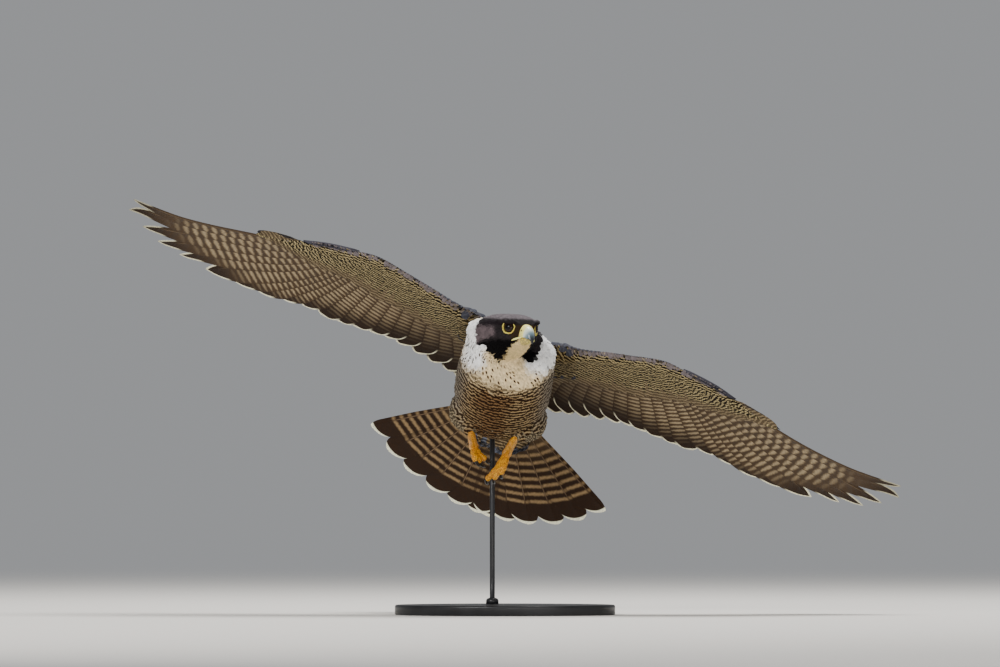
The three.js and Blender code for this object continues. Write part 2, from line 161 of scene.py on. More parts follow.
def addMesh(name, corners, faces, material=None, sharp=None):
    # corners in the bird's frame; faces is a list of index arrays with one face size each
    mesh = bpy.data.meshes.new(name)
    loops = np.concatenate([f.ravel() for f in faces]).astype(np.int32)
    sizes = np.concatenate([np.full(len(f), f.shape[1]) for f in faces])
    starts = np.concatenate(([0], np.cumsum(sizes)[:-1])).astype(np.int32)
    mesh.vertices.add(len(corners))
    mesh.vertices.foreach_set("co", (toRow(corners) * 0.001).astype(np.float32).ravel())
    mesh.loops.add(len(loops))
    mesh.loops.foreach_set("vertex_index", loops)
    mesh.polygons.add(len(sizes))
    mesh.polygons.foreach_set("loop_start", starts)
    mesh.update(calc_edges=True)
    mesh.polygons.foreach_set("use_smooth", np.ones(len(sizes), bool))
    if sharp is not None:  # edges between two corners that are both marked stay crisp
        ends = np.empty(len(mesh.edges) * 2, np.int32)
        mesh.edges.foreach_get("vertices", ends)
        crisp = sharp[ends.reshape(-1, 2)].all(axis=1)
        mesh.attributes.new("sharp_edge", "BOOLEAN", "EDGE").data.foreach_set("value", crisp)
    if material:
        mesh.materials.append(material)
    piece = bpy.data.objects.new(name, mesh)
    bpy.context.scene.collection.objects.link(piece)
    return piece


def addValues(piece, **values):  # vertex data: three columns are a vector, four a colour
    for name, rows in values.items():
        rows = np.ascontiguousarray(rows, np.float32)
        columns = rows.shape[1] if rows.ndim > 1 else 1
        kind, field = {1: ("FLOAT", "value"), 3: ("FLOAT_VECTOR", "vector"), 4: ("FLOAT_COLOR", "color")}[columns]
        piece.data.attributes.new(name, kind, "POINT").data.foreach_set(field, rows.ravel())


def addBakeMap(piece, places):  # one place of the bake map for each corner
    mesh = piece.data
    corner = np.empty(len(mesh.loops), np.int32)
    mesh.loops.foreach_get("vertex_index", corner)
    layer = mesh.uv_layers.new(name="OFBake")
    layer.data.foreach_set("uv", np.clip(places, 0, 1)[corner].astype(np.float32).ravel())


def gridFaces(rows, columns, closed=True):
    # quads between rows of points; closed joins the last column to the first
    r = np.arange(rows - 1)[:, None]
    c = np.arange(columns if closed else columns - 1)[None, :]
    a, b = r * columns + c, r * columns + (c + 1) % columns
    return np.stack([a, b, b + columns, a + columns], -1).reshape(-1, 4)


def facedOut(corners, faces):  # faces turned so that the body's volume is positive
    volume = 0
    for f in faces:
        for k in range(1, f.shape[1] - 1):
            volume += np.einsum("ij,ij->", corners[f[:, 0]], np.cross(corners[f[:, k]], corners[f[:, k + 1]]))
    return faces if volume > 0 else [f[:, ::-1] for f in faces]


def ringCorners(rings):  # all points of the rings, then the middles of the first and the last
    return np.concatenate([rings.reshape(-1, 3), rings[:1].mean(1), rings[-1:].mean(1)])


def loftSolid(rings):  # closed body over rings of equally many points
    rows, columns = rings.shape[:2]
    corners = ringCorners(rings)
    i = np.arange(columns)
    first = np.stack([(i + 1) % columns, i, np.full(columns, rows * columns)], -1)
    last = np.stack([i, (i + 1) % columns, np.full(columns, rows * columns + 1)], -1)
    last[:, :2] += (rows - 1) * columns
    return corners, facedOut(corners, [gridFaces(rows, columns), np.concatenate([first, last])])


def joinSolids(solids):  # corners and faces of several bodies as one
    shift = np.cumsum([0] + [len(c) for c, f in solids])
    return np.concatenate([c for c, f in solids]), [f + shift[k] for k, solid in enumerate(solids) for f in solid[1]]


def meltedTogether(solids, voxel, rounds):  # closed bodies remeshed into one smooth skin
    rough = addMesh("rough", *joinSolids(solids))
    remesh = rough.modifiers.new("whole", "REMESH")
    remesh.mode, remesh.voxel_size = "VOXEL", voxel
    smooth = rough.modifiers.new("soft", "SMOOTH")
    smooth.factor, smooth.iterations = 0.5, rounds
    whole = bpy.data.meshes.new_from_object(rough.evaluated_get(bpy.context.evaluated_depsgraph_get()))
    bpy.data.objects.remove(rough)
    return whole


# Body stations, from the tail coverts' tip to the bill's base
def quaternionOf(turn):
    return Matrix(turn.tolist()).to_quaternion()


def tailStation(back, wide, rise, drop):
    return (inTail((0, back, 0)), quaternionOf(tailTurn), wide, rise, drop, 2)


def trunkStation(y, side, wide, top, bottom, twist):
    half = (top - bottom) / 2
    turn = quaternionOf(turnAbout("Y", twist))
    return (np.array((side, y, (top + bottom) / 2)), turn, wide, half, half, 2.2)


def headStation(forward, wide, rise, drop, square):
    return (inHead((0, forward, 0)), quaternionOf(headTurn), wide, rise, drop, square)


stations = [
    tailStation(82, 20, 1.4, 2), tailStation(62, 42, 3.5, 4.5),
    tailStation(38, 42, 7, 9), tailStation(12, 36, 11, 15),
    trunkStation(98, 0, 38, 19, -33, -5), trunkStation(76, 1, 48, 26, -56, -9),
    trunkStation(48, 2, 54, 32, -72, -12), trunkStation(16, 3, 57, 36, -74, -12),
    trunkStation(-18, 3, 57, 38, -68, -12), trunkStation(-48, 3, 55, 37, -60, -12),
    trunkStation(-68, 3, 48, 34, -51, -12), headStation(-26, 38.5, 19, 41, 2.1),
    headStation(-10, 33, 19, 33, 2.2), headStation(1, 29.5, 18.6, 28, 2.3),
    headStation(9, 25.5, 18, 24, 2.4), headStation(16, 20.5, 15.8, 21, 2.4),
    headStation(22, 15.5, 12, 18.5, 2.3), headStation(27.7, 9.2, 6, 15.5, 2.2),
]


def stationTurns(places):
    found = []
    for place in places:
        k = min(int(place), len(stations) - 2)
        found.append(stations[k][1].slerp(stations[k + 1][1], place - k).to_matrix())
    return np.array(found)


def bodyRings(places, sides, grow):
    centre = through([s[0] for s in stations], places)
    wide, rise, drop, square = through([s[2:] for s in stations], places).T[..., None]
    angle = turns(sides)
    c, s = np.cos(angle)[None], np.sin(angle)[None]
    grow = np.asarray(grow)[:, None] if np.ndim(grow) else grow
    x = np.sign(c) * np.abs(c) ** (2 / square) * (wide + grow)
    z = np.sign(s) * np.abs(s) ** (2 / square) * (np.where(s > 0, rise, drop) + grow)
    local = np.stack([x, np.zeros_like(x), z], -1)
    return np.einsum("rij,rpj->rpi", stationTurns(places), local) + centre[:, None]


# Wing shape in half-span coordinates, made for the left side and mirrored for the right
wingShape = {
    "reach": {1: 0.988, -1: 1.018}, "bend": {1: -4.2, -1: 4.2},
    "frontEdge": [
        (40, 0), (65, -20), (105, -45), (140, -62), (178, -77), (205, -70), (245, -56),
        (285, -30), (325, -6), (365, 15), (400, 29), (430, 40), (460, 50), (487, 60)],
    "rearEdge": [
        (50, 130), (71, 120), (91, 112), (111, 103), (133, 95), (152, 89), (194, 90), (235, 92), (259, 92),
        (291, 102), (322, 116), (351, 124), (384, 130), (418, 122), (447, 114), (468, 97), (487, 72)],
    "frontHeight": [(16, 32), (34, 44), (52, 46), (75, 42.5), (110, 43), (180, 45), (300, 47), (420, 50), (487, 60)],
    "rearHeight": [(16, 8), (50, 20), (90, 22), (235, 22), (259, 25), (322, 31), (384, 37), (447, 43), (487, 52)],
    "camber": [(50, 7), (180, 9), (300, 5), (430, 2), (487, 0)],
    "thickness": [(30, 18), (55, 14), (80, 9), (130, 6.5), (185, 6), (250, 4), (330, 1.6), (480, 0.7)],
    "wrist": (182, -60), "handEnd": (262, -38), "elbow": (96, -14), "shoulder": (34, 6),
    "primaryReach": [259, 291, 322, 351, 384, 418, 447, 468, 487, 485],
    "secondaryReach": [235, 216, 194, 173, 152, 133, 111, 91, 71, 56],
}


def chordShare(x, y):
    front, rear = along(wingShape["frontEdge"], x), along(wingShape["rearEdge"], x)
    return (y - front) / (rear - front)


def wingPoint(side, x, y, off):  # off is the height over the wing's middle surface
    w = wingShape
    share = np.clip(chordShare(x, y), 0, 1.15)
    flat = along(w["frontHeight"], x) * (1 - share) + along(w["rearHeight"], x) * share
    camber = along(w["camber"], x) * 4 * share * (1 - share)
    lift = w["bend"][side] * ramp(x, 240, 370)
    return np.stack([side * w["reach"][side] * x, y + 0 * off, flat + camber + lift + off], -1)


def swell(share):  # share of the wing's thickness over its chord
    return np.where(share < 0.1, np.sqrt(np.clip(share, 0, 1) / 0.1), np.clip(1 - (share - 0.1) / 0.6, 0, 1))


def wingSkinOff(x, y, upper):  # height of the fleshy wing's surface over or under its middle
    half = along(wingShape["thickness"], x) * swell(chordShare(x, y))
    return 0.35 + 0.6 * half if upper else -0.35 - 0.9 * half


# Middle of the eye in the head, as side, forward and up, and the way it looks
eyeMiddle = np.array((13.2, 13.0, 1.8))
eyeWay = unit(np.array((0.77, 0.62, 0.05)))

# Skin: body, arms and thighs as one closed surface, inside the plumage by the coat's depth
skinLook = {
    "depth": [(0, -0.6), (2, -1.6), (4, -2.6), (10, -2.6), (11.6, -1.3), (14, -0.9), (17, -0.2)],
    "sides": 96, "ringsPerStation": 8, "armDepth": 0.9, "armEnd": 292, "voxel": 0.0016, "smoothing": 6,
    # brow ridge over the eye: side, forward, up and radius, from the bill back
    "brow": [
        (10.5, 26.0, 6.6, 1.0), (15.8, 22.3, 8.9, 2.2), (19.4, 17.4, 10.0, 3.0), (22.4, 9.5, 9.8, 3.0),
        (25.0, 2, 8, 2.2), (27, -6, 5, 1.2)],
    "neckFluff": [((-46, -72, 6), (-1, -0.1, 0.25), 13, 30), ((50, -64, 14), (1, -0.1, 0.25), 6, 24)],
    "thighTop": (33, 34, -26), "thighRadii": [(0, 11), (0.2, 20), (0.4, 23), (0.6, 21), (0.8, 13.4), (1, 5.6)],
    "ankles": {1: (11, 4, 207), -1: (-40, 4, 214)},
}


def thighPath(side):
    top = np.array(skinLook["thighTop"], float) * (side, 1, 1) @ turnAbout("Y", -12).T
    low = toBird(skinLook["ankles"][side])
    knee = mixed(top, low, 0.5) + (side * 4, 4, 0)
    return smoothPath([top, knee, mixed(low, top, 0.04)], 25)


def tubeRings(path, radii, sides, up=(0.3, 0.2, 1)):
    way = unit(np.gradient(path, axis=0))
    first = unit(np.cross(way, up))
    second = np.cross(way, first)
    angle = turns(sides)[None, :, None]
    spoke = np.cos(angle) * first[:, None] + np.sin(angle) * second[:, None]
    return path[:, None] + spoke * np.asarray(radii)[:, None, None]


def armRings(side):
    look = skinLook
    xs = np.linspace(16, look["armEnd"], 76)
    shares = np.array([0.004, 0.015, 0.035, 0.07, 0.12, 0.2, 0.3, 0.42, 0.5])
    rings = []
    for x in xs:
        front, rear = along(wingShape["frontEdge"], x), along(wingShape["rearEdge"], x)
        half = max(along(wingShape["thickness"], x) - look["armDepth"], 0.5) * (1 - 0.7 * ramp(x, 262, 292))
        y = front + look["armDepth"] + (rear - front) * shares * (1 - 0.6 * ramp(x, 190, 250))
        upper = wingPoint(side, x + 0 * y, y, 0.1 + 0.6 * half * swell(shares))
        lower = wingPoint(side, x + 0 * y, y, -0.1 - 0.9 * half * swell(shares))
        rings.append(np.concatenate([upper, lower[::-1]]))
    return np.array(rings)


def makeSkin():
    look = skinLook
    count = (len(stations) - 1) * look["ringsPerStation"] + 1
    places = np.linspace(0, len(stations) - 1, count)
    solids = [loftSolid(bodyRings(places, look["sides"], along(look["depth"], places)))]
    for side in (1, -1):
        path, t = thighPath(side)
        solids.append(loftSolid(tubeRings(path, along(look["thighRadii"], t), 48)))
        solids.append(loftSolid(armRings(side)))
        brow = smoothPath(look["brow"], 30)[0]
        solids.append(loftSolid(tubeRings(inHead(brow[:, :3] * (side, 1, 1)), brow[:, 3], 16)))
    whole = meltedTogether(solids, look["voxel"], look["smoothing"])
    points = np.empty(len(whole.vertices) * 3, np.float32)
    whole.vertices.foreach_get("co", points)
    quads = np.empty(len(whole.loops), np.int32)
    whole.loops.foreach_get("vertex_index", quads)
    return toBird(points.reshape(-1, 3) * 1000.0), quads.reshape(-1, 4)


skinPoints, skinQuads = makeSkin()
print("skin remeshed", len(skinPoints))


# Shader pieces shared by the materials
def feed(tree, socket, value):  # by a link, or with a constant
    if isinstance(value, bpy.types.NodeSocket):
        tree.links.new(value, socket)
    else:
        socket.default_value = value


def addNode(tree, kind, inputs=(), **settings):
    made = tree.nodes.new(kind)
    for key, value in settings.items():
        setattr(made, key, value)
    for key, value in dict(inputs).items():
        feed(tree, made.inputs[key], value)
    return made


def calc(tree, operation, *values, clamp=False):
    return addNode(tree, "ShaderNodeMath", enumerate(values), operation=operation, use_clamp=clamp).outputs[0]


def blendColour(tree, share, a, b, kind="MIX"):
    made = addNode(tree, "ShaderNodeMix", data_type="RGBA", blend_type=kind)
    for key, value in (("Factor_Float", share), ("A_Color", a), ("B_Color", b)):
        feed(tree, next(s for s in made.inputs if s.identifier == key), value)
    return next(s for s in made.outputs if s.identifier == "Result_Color")


def remap(tree, value, low, high, to=(0, 1)):  # eased
    inputs = {"Value": value, "From Min": low, "From Max": high, "To Min": to[0], "To Max": to[1]}
    return addNode(tree, "ShaderNodeMapRange", inputs, interpolation_type="SMOOTHSTEP").outputs[0]


def attribute(tree, name, field="Vector"):
    return addNode(tree, "ShaderNodeAttribute", attribute_name=name).outputs[field]


def parts(tree, vector):
    return addNode(tree, "ShaderNodeSeparateXYZ", {0: vector}).outputs


def joined(tree, x, y, z=0.0):
    return addNode(tree, "ShaderNodeCombineXYZ", {0: x, 1: y, 2: z}).outputs[0]


def objectPlace(tree):
    return addNode(tree, "ShaderNodeTexCoord").outputs["Object"]


def noiseOver(tree, place, scale, detail=2.0):
    return addNode(tree, "ShaderNodeTexNoise", {"Vector": place, "Scale": scale, "Detail": detail}).outputs[0]


def colour(*values):  # 0 to 255 as seen on a screen, to the shader's own scale, a little deeper and stronger
    scaled = [v / 255 for v in values]
    linear = [v / 12.92 if v <= 0.04045 else ((v + 0.055) / 1.055) ** 2.4 for v in scaled]
    light = max(0.2126 * linear[0] + 0.7152 * linear[1] + 0.0722 * linear[2], 1e-4)
    depth = min((light / 0.42) ** 0.22, 1.12)
    return tuple(min(light * (max(v, 1e-4) / light) ** 1.18 * depth, 0.94) for v in linear) + (1.0,)


def newGroup(name, inputs, outputs):
    tree = bpy.data.node_groups.new(name, "ShaderNodeTree")
    for direction, sockets in (("INPUT", inputs), ("OUTPUT", outputs)):
        for label, kind in sockets:
            tree.interface.new_socket(name=label, in_out=direction, socket_type="NodeSocket" + kind)
    return tree, tree.nodes.new("NodeGroupInput").outputs, tree.nodes.new("NodeGroupOutput")


def makeBarsGroup():
    # bars across a feather: From Tip and Across in mm, Share is how much of each pitch is marked
    tree, given, out = newGroup(
        "feather_bars",
        [("From Tip", "Float"), ("Across", "Float"), ("Pitch", "Float"), ("Share", "Float"),
         ("Bow", "Float"), ("Wander", "Float"), ("Scatter", "Float"), ("Soft", "Float"), ("Seed", "Float")],
        [("Mask", "Float")])
    stretch = {"From Tip": 0.12, "Across": 0.22, "Seed": 37.0}
    spot = joined(tree, *(calc(tree, "MULTIPLY", given[key], by) for key, by in stretch.items()))
    noise = noiseOver(tree, spot, 1.6)
    drift = calc(tree, "MULTIPLY", calc(tree, "SUBTRACT", noise, 0.5), given["Wander"])
    bent = calc(tree, "MULTIPLY", calc(tree, "ABSOLUTE", given["Across"]), given["Bow"])
    phase = calc(tree, "ADD", calc(tree, "DIVIDE", calc(tree, "ADD", given["From Tip"], bent), given["Pitch"]), drift)
    phase = calc(tree, "ADD", phase, calc(tree, "MULTIPLY", given["Seed"], given["Scatter"]))
    wave = calc(tree, "PINGPONG", phase, 0.5)
    half = calc(tree, "MULTIPLY", given["Share"], 0.5)
    mask = remap(tree, wave, calc(tree, "ADD", half, given["Soft"]), calc(tree, "SUBTRACT", half, given["Soft"]))
    tree.links.new(mask, out.inputs["Mask"])
    return tree


def makeBarbsGroup():
    # the fine slanted barbs either side of a shaft, as a height and as light and dark streaks
    tree, given, out = newGroup(
        "feather_barbs",
        [("From Tip", "Float"), ("Across", "Float"), ("Pitch", "Float"), ("Seed", "Float")],
        [("Height", "Float"), ("Streak", "Float")])
    run = calc(tree, "ADD", given["From Tip"], calc(tree, "MULTIPLY", calc(tree, "ABSOLUTE", given["Across"]), 0.85))
    count = calc(tree, "DIVIDE", run, given["Pitch"])
    slant = calc(tree, "MULTIPLY", given["Across"], 0.03)
    line = joined(tree, count, slant, calc(tree, "MULTIPLY", given["Seed"], 53.0))
    streak = noiseOver(tree, line, 0.35, 3.0)
    wave = calc(tree, "PINGPONG", count, 0.5)
    tree.links.new(calc(tree, "ADD", wave, streak), out.inputs["Height"])
    tree.links.new(remap(tree, streak, 0.32, 0.68), out.inputs["Streak"])
    return tree


barsGroup = makeBarsGroup()
barbsGroup = makeBarbsGroup()


def useGroup(tree, group, **values):
    made = addNode(tree, "ShaderNodeGroup", node_tree=group)
    for key, value in values.items():
        feed(tree, made.inputs[key.replace("_", " ")], value)
    return made.outputs


def newMaterial(name, **constants):
    material = bpy.data.materials.new(name)
    material.use_nodes = True
    tree = material.node_tree
    shader = tree.nodes["Principled BSDF"]
    for key, value in constants.items():
        shader.inputs[key.replace("_", " ")].default_value = value
    return material, tree, shader


def dress(tree, shader, made, rough=None, height=None, depth=0.0, strength=0.6):  # depth of the bump in metres
    tree.links.new(made, shader.inputs["Base Color"])
    if rough:
        tree.links.new(rough, shader.inputs["Roughness"])
    if height:
        bump = addNode(tree, "ShaderNodeBump", {"Height": height, "Distance": depth, "Strength": strength})
        tree.links.new(bump.outputs[0], shader.inputs["Normal"])


def streaked(tree, made, streak, least, span):  # the barbs' light and dark streaks over a colour
    tint = calc(tree, "ADD", least, calc(tree, "MULTIPLY", streak, span))
    grey = addNode(tree, "ShaderNodeCombineColor", {0: tint, 1: tint, 2: tint}).outputs[0]
    return blendColour(tree, 1.0, made, grey, "MULTIPLY")


# Plumage that carries its colours and markings in its vertex data
plumageLook = {
    "barbPitch": 0.45, "barbDepth": 0.00012, "barShare": 0.62, "barBow": 0.26, "wander": 0.42, "scatter": 1.0,
    "soft": 0.075, "dropFromTip": 3.2, "dropLength": 2.3, "dropWidth": 0.34, "rough": (0.66, 0.82),
    "fringe": 0.6, "fringeLight": 0.32, "fringeTint": (1.45, 1.42, 1.4, 1),
}


def makePlumage(name, onSkin=False):
    look = plumageLook
    material, tree, shader = newMaterial(name, Roughness=0.75, Specular_IOR_Level=0.06)
    vane, code = parts(tree, attribute(tree, "vane")), parts(tree, attribute(tree, "code"))
    ground, mark = attribute(tree, "ground", "Color"), attribute(tree, "mark", "Color")
    pitch = attribute(tree, "pitch", "Fac")
    across = calc(tree, "MULTIPLY", vane[0], vane[2])
    bars = useGroup(tree, barsGroup, From_Tip=vane[1], Across=across, Pitch=pitch, Share=look["barShare"],
                    Bow=look["barBow"], Wander=look["wander"], Scatter=look["scatter"], Soft=look["soft"],
                    Seed=code[2])["Mask"]
    barbs = useGroup(tree, barbsGroup, From_Tip=vane[1], Across=across, Pitch=look["barbPitch"], Seed=code[2])
    barred = calc(tree, "MULTIPLY", bars, code[0])
    if not onSkin:
        wide = calc(tree, "POWER", calc(tree, "DIVIDE", vane[0], look["dropWidth"]), 2.0)
        deep = calc(tree, "DIVIDE", calc(tree, "SUBTRACT", vane[1], look["dropFromTip"]), look["dropLength"])
        spot = remap(tree, calc(tree, "ADD", wide, calc(tree, "MULTIPLY", deep, deep)), 1.25, 0.7)
        barred = calc(tree, "MAXIMUM", barred, calc(tree, "MULTIPLY", spot, code[1]))
    made = streaked(tree, blendColour(tree, barred, ground, mark), barbs["Streak"], 0.86, 0.24)
    if not onSkin:
        rim = remap(tree, vane[1], look["fringe"], 0.1)
        side = remap(tree, calc(tree, "ABSOLUTE", vane[0]), 0.8, 1.0)
        pale = calc(tree, "MULTIPLY", calc(tree, "MAXIMUM", rim, side), look["fringeLight"])
        made = blendColour(tree, pale, made, blendColour(tree, 1.0, made, look["fringeTint"], "MULTIPLY"))
    dress(tree, shader, made, remap(tree, barbs["Streak"], 0, 1, look["rough"]), barbs["Height"], look["barbDepth"])
    return material


plumage = makePlumage("plumage")
skinPlumage = makePlumage("skin_plumage", onSkin=True)
print("plumage materials made")


# Vanes: every feather is a closed blade over its shaft
smallVane = np.array([(-1, 0.0), (-0.5, 0.5), (0, 1.0), (0.5, 0.5), (1, 0.0), (0, -0.5)])
largeVane = np.array([
    (-1, 0.12), (-0.55, 0.5), (-0.1, 0.55), (0, 1.5), (0.05, 0.55), (0.55, 0.5), (1, 0.12),
    (1, -0.12), (0.55, -0.5), (0.05, -0.55), (0, -1.5), (-0.1, -0.55), (-0.55, -0.5), (-1, -0.12)])


def joinVanes(grid):  # grid of feather, station, section point -> corners and faces
    n, s, k = grid.shape[:3]
    one = [gridFaces(s, k), np.arange(k)[None, ::-1], (s - 1) * k + np.arange(k)[None]]
    one = facedOut(grid[0].reshape(-1, 3), one)
    shift = (np.arange(n) * s * k)[:, None, None]
    return grid.reshape(-1, 3), [(f[None] + shift).reshape(-1, f.shape[1]) for f in one]


def addVanes(name, grid, profile, material):  # feathers as one piece, crisp along the edges of each vane
    corners, faces = joinVanes(grid)
    edge = np.broadcast_to(np.abs(profile[:, 0]) == 1, grid.shape[:3]).ravel()
    return addMesh(name, corners, faces, material, sharp=edge)


def spread(values, shape):  # values by feather, or by feather and station, over a whole grid
    values = np.asarray(values)
    return np.broadcast_to(values.reshape(values.shape + (1,) * (3 - values.ndim)), shape)


def sectionWidths(left, right, profile):
    share = profile[:, 0]
    return np.where(share > 0, right[..., None], left[..., None]) * share


def layVanes(place, shaft, left, right, off, thick, profile, tilt=0.0, cup=0.0):
    # vanes over a surface given by place(x, y, off): shaft (feather, station, 2) runs root to tip
    way = unit(np.gradient(shaft, axis=1))
    width = sectionWidths(left, right, profile)
    x = shaft[..., 0, None] - way[..., 1, None] * width
    y = shaft[..., 1, None] + way[..., 0, None] * width
    lift = off[..., None] + profile[:, 1] * thick[..., None] - tilt * width + cup * profile[:, 0] ** 2
    return place(x, y, lift), width


def fromTip(points):  # distance from the tip down each shaft
    steps = np.linalg.norm(np.diff(points, axis=1), axis=-1)
    return np.concatenate([np.cumsum(steps[:, ::-1], axis=1)[:, ::-1], np.zeros((len(points), 1))], axis=1)


# Flight feathers of the wings
remexLook = {
    "stations": 34, "thick": 0.42, "tilt": 0.036,
    "primary": {"inner": 24, "outer": 8}, "finger": {"inner": 22.5, "outer": 6.5},
    "secondary": {"inner": 23, "outer": 10},
    "broad": [(0, 0.16), (0.1, 0.5), (0.3, 1), (0.8, 1), (0.9, 0.76), (0.96, 0.46), (1, 0.06)],
    "square": [(0, 0.16), (0.1, 0.6), (0.3, 1), (0.88, 1), (0.955, 0.78), (0.985, 0.5), (1, 0.12)],
    "narrow": [(0, 0.16), (0.12, 0.6), (0.3, 1), (0.75, 1), (0.86, 0.72), (0.93, 0.46), (0.975, 0.26), (1, 0.03)],
    "secondaryBow": -1.5, "primaryBow": [-2, -1, 1, 4, 8, 11, 12, 12.5, 12, 11], "outermost": (0.72, 0.62),
    # by remex, from the innermost secondary
    "darkTip": [(0, 6), (9, 6), (11, 10), (13, 20), (15, 38), (17, 40), (19, 50)],
}


def remexLines():  # root and tip of each remex, innermost secondary first, outermost primary last
    w = wingShape
    wrist, hand, elbow = (np.array(w[key], float) for key in ("wrist", "handEnd", "elbow"))
    roots, tips = [], []
    for i in range(9, -1, -1):
        roots.append(mixed(wrist, elbow, (i + 0.5) / 10))
        reach = w["secondaryReach"][i]
        tips.append((reach, along(w["rearEdge"], reach) + 2))
    for i, reach in enumerate(w["primaryReach"]):
        roots.append(mixed(wrist, hand, (i + 0.5) / 10))
        tips.append((reach + 1, 60 if i == 9 else along(w["rearEdge"], reach) + 2))
    return np.array(roots), np.array(tips)


remexRoots, remexTips = remexLines()


def makeRemiges(side, material):
    look = remexLook
    t = np.linspace(0.0, 1, look["stations"])
    t = 1 - (1 - t) ** 1.25
    shaft = mixed(remexRoots[:, None], remexTips[:, None], t[None, :])
    axis = unit(remexTips - remexRoots)
    across = np.stack([-axis[:, 1], axis[:, 0]], -1)
    bow = np.array([look["secondaryBow"]] * 10 + look["primaryBow"])
    shaft = shaft + across[:, None] * (bow[:, None] * 4 * t * (1 - t))[..., None]
    inner, outer = np.empty(shaft.shape[:2]), np.empty(shaft.shape[:2])
    for k in range(20):
        if k < 10:
            sizes, curve = look["secondary"], "square"
        elif k < 15:
            sizes, curve = look["primary"], "broad"
        else:
            sizes, curve = look["finger"], "narrow"
        shape = along(look[curve], t)
        slim = (1, 1) if k < 19 else look["outermost"]
        inner[k] = sizes["inner"] * shape * slim[0]
        outer[k] = sizes["outer"] * np.minimum(shape * 1.15, 1) * slim[1]
    thick = look["thick"] * np.broadcast_to(1.5 - t, inner.shape)
    place = partial(wingPoint, side)
    grid, width = layVanes(place, shaft, outer, inner, 0 * inner, thick, largeVane, tilt=look["tilt"])
    piece = addVanes("remiges_left" if side > 0 else "remiges_right", grid, largeVane, material)
    down, index = spread(fromTip(grid[:, :, 3]), width.shape), spread(np.arange(20), width.shape)
    under = np.broadcast_to(largeVane[:, 1] < 0, width.shape)
    darkTip = spread(along(look["darkTip"], np.arange(20)), width.shape)
    addValues(piece, vane=np.stack([width, down, index], -1).reshape(-1, 3), upper=1.0 - under.ravel(),
              reach=spread(inner, width.shape).ravel(), dark=darkTip.ravel(),
              sideReach=np.where(width > 0, inner[..., None], outer[..., None]).ravel())
    lane = (index + 0.5 + 0.45 * np.clip(width / 26, -1, 1)) / 20 * 0.5 + 0.5 * under
    addBakeMap(piece, np.stack([lane, np.clip(1 - down / 300, 0, 1)], -1).reshape(-1, 2))
    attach(piece, "root")
    return piece


rectrixLook = {
    "stations": 34, "thick": 0.42, "tilt": 0.043, "start": 0.08, "length": 190,
    "angles": [-51.3, -39.7, -29.6, -18.4, -8.8, -0.4, 5, 12, 20.6, 31.6, 41.9, 52.8],
    "inner": 22, "outer": 13.5, "edgeOuter": 5.5,
    "shape": [
        (0.08, 0.14), (0.3, 0.42), (0.6, 0.84), (0.8, 1), (0.89, 0.98), (0.935, 0.88), (0.968, 0.68), (0.988, 0.42),
        (1, 0.12)],
}


def tailPlace(angle, mirror):
    c, s = math.cos(math.radians(angle)), math.sin(math.radians(angle))
    return lambda x, y, off: inTail(np.stack([mirror * x * c + y * s, y * c - mirror * x * s, off + 0 * x], -1))


def makeRectrices(material):
    look = rectrixLook
    t = look["start"] + (1 - look["start"]) * (1 - (1 - np.linspace(0, 1, look["stations"])) ** 1.3)
    shape = along(look["shape"], t)[None]
    shaft = np.stack([0 * t, t * look["length"]], -1)[None]
    grids, widths = [], []
    for k, angle in enumerate(look["angles"]):
        edge = k in (0, 11)
        outer = look["edgeOuter"] if edge else look["outer"]
        grid, width = layVanes(
            tailPlace(angle, -1 if k < 6 else 1), shaft, outer * np.minimum(1.1 * shape, 1), look["inner"] * shape,
            0 * shape, look["thick"] * (1.5 - t)[None], largeVane, tilt=look["tilt"])
        grids.append(grid[:, :, ::-1] if k < 6 else grid)
        widths.append(width[:, :, ::-1] if k < 6 else width)
    grid, width = np.concatenate(grids), np.concatenate(widths)
    piece = addVanes("rectrices", grid, largeVane, material)
    down, index = spread(look["length"] * (1 - t)[None], width.shape), spread(np.arange(12), width.shape)
    under = np.broadcast_to(largeVane[:, 1] < 0, width.shape).copy()
    under[:6] = under[:6, :, ::-1]
    addValues(piece, vane=np.stack([width, down, index], -1).reshape(-1, 3), upper=1.0 - under.ravel(),
              sideReach=np.broadcast_to(np.abs(width).max(axis=2, keepdims=True), width.shape).ravel())
    lane = (index + 0.5 + 0.45 * np.clip(width / 24, -1, 1)) / 12 * 0.5 + 0.5 * under
    addBakeMap(piece, np.stack([lane, np.clip(1 - down / 200, 0, 1)], -1).reshape(-1, 2))
    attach(piece, "root")
    return piece


remexColours = {
    "underDark": colour(82, 66, 49), "underTip": colour(52, 38, 27), "pale": colour(168, 152, 124),
    "shaft": colour(132, 116, 94), "upper": colour(66, 64, 68), "upperPale": colour(104, 98, 96),
    "rim": colour(252, 232, 206), "fill": 0.5, "pitch": (6.6, 12.5), "fade": 42.0, "bareTip": (18, 40),
}
largeBarbs = {"pitch": 0.6, "depth": 0.00015, "rough": (0.5, 0.68), "tint": (0.84, 0.3)}


def finishLargeVane(tree, shader, made, across, down, seed, look):  # the shaft, then the barbs
    line = remap(tree, calc(tree, "ABSOLUTE", across), 0.75, 0.35)
    line = calc(tree, "MULTIPLY", line, remap(tree, down, *look["bareTip"]))
    made = blendColour(tree, calc(tree, "MULTIPLY", line, 0.5), made, look["shaft"])
    barbs = useGroup(tree, barbsGroup, From_Tip=down, Across=across, Pitch=largeBarbs["pitch"], Seed=seed)
    made = streaked(tree, made, barbs["Streak"], *largeBarbs["tint"])
    rough = remap(tree, barbs["Streak"], 0, 1, largeBarbs["rough"])
    dress(tree, shader, made, rough, barbs["Height"], largeBarbs["depth"])


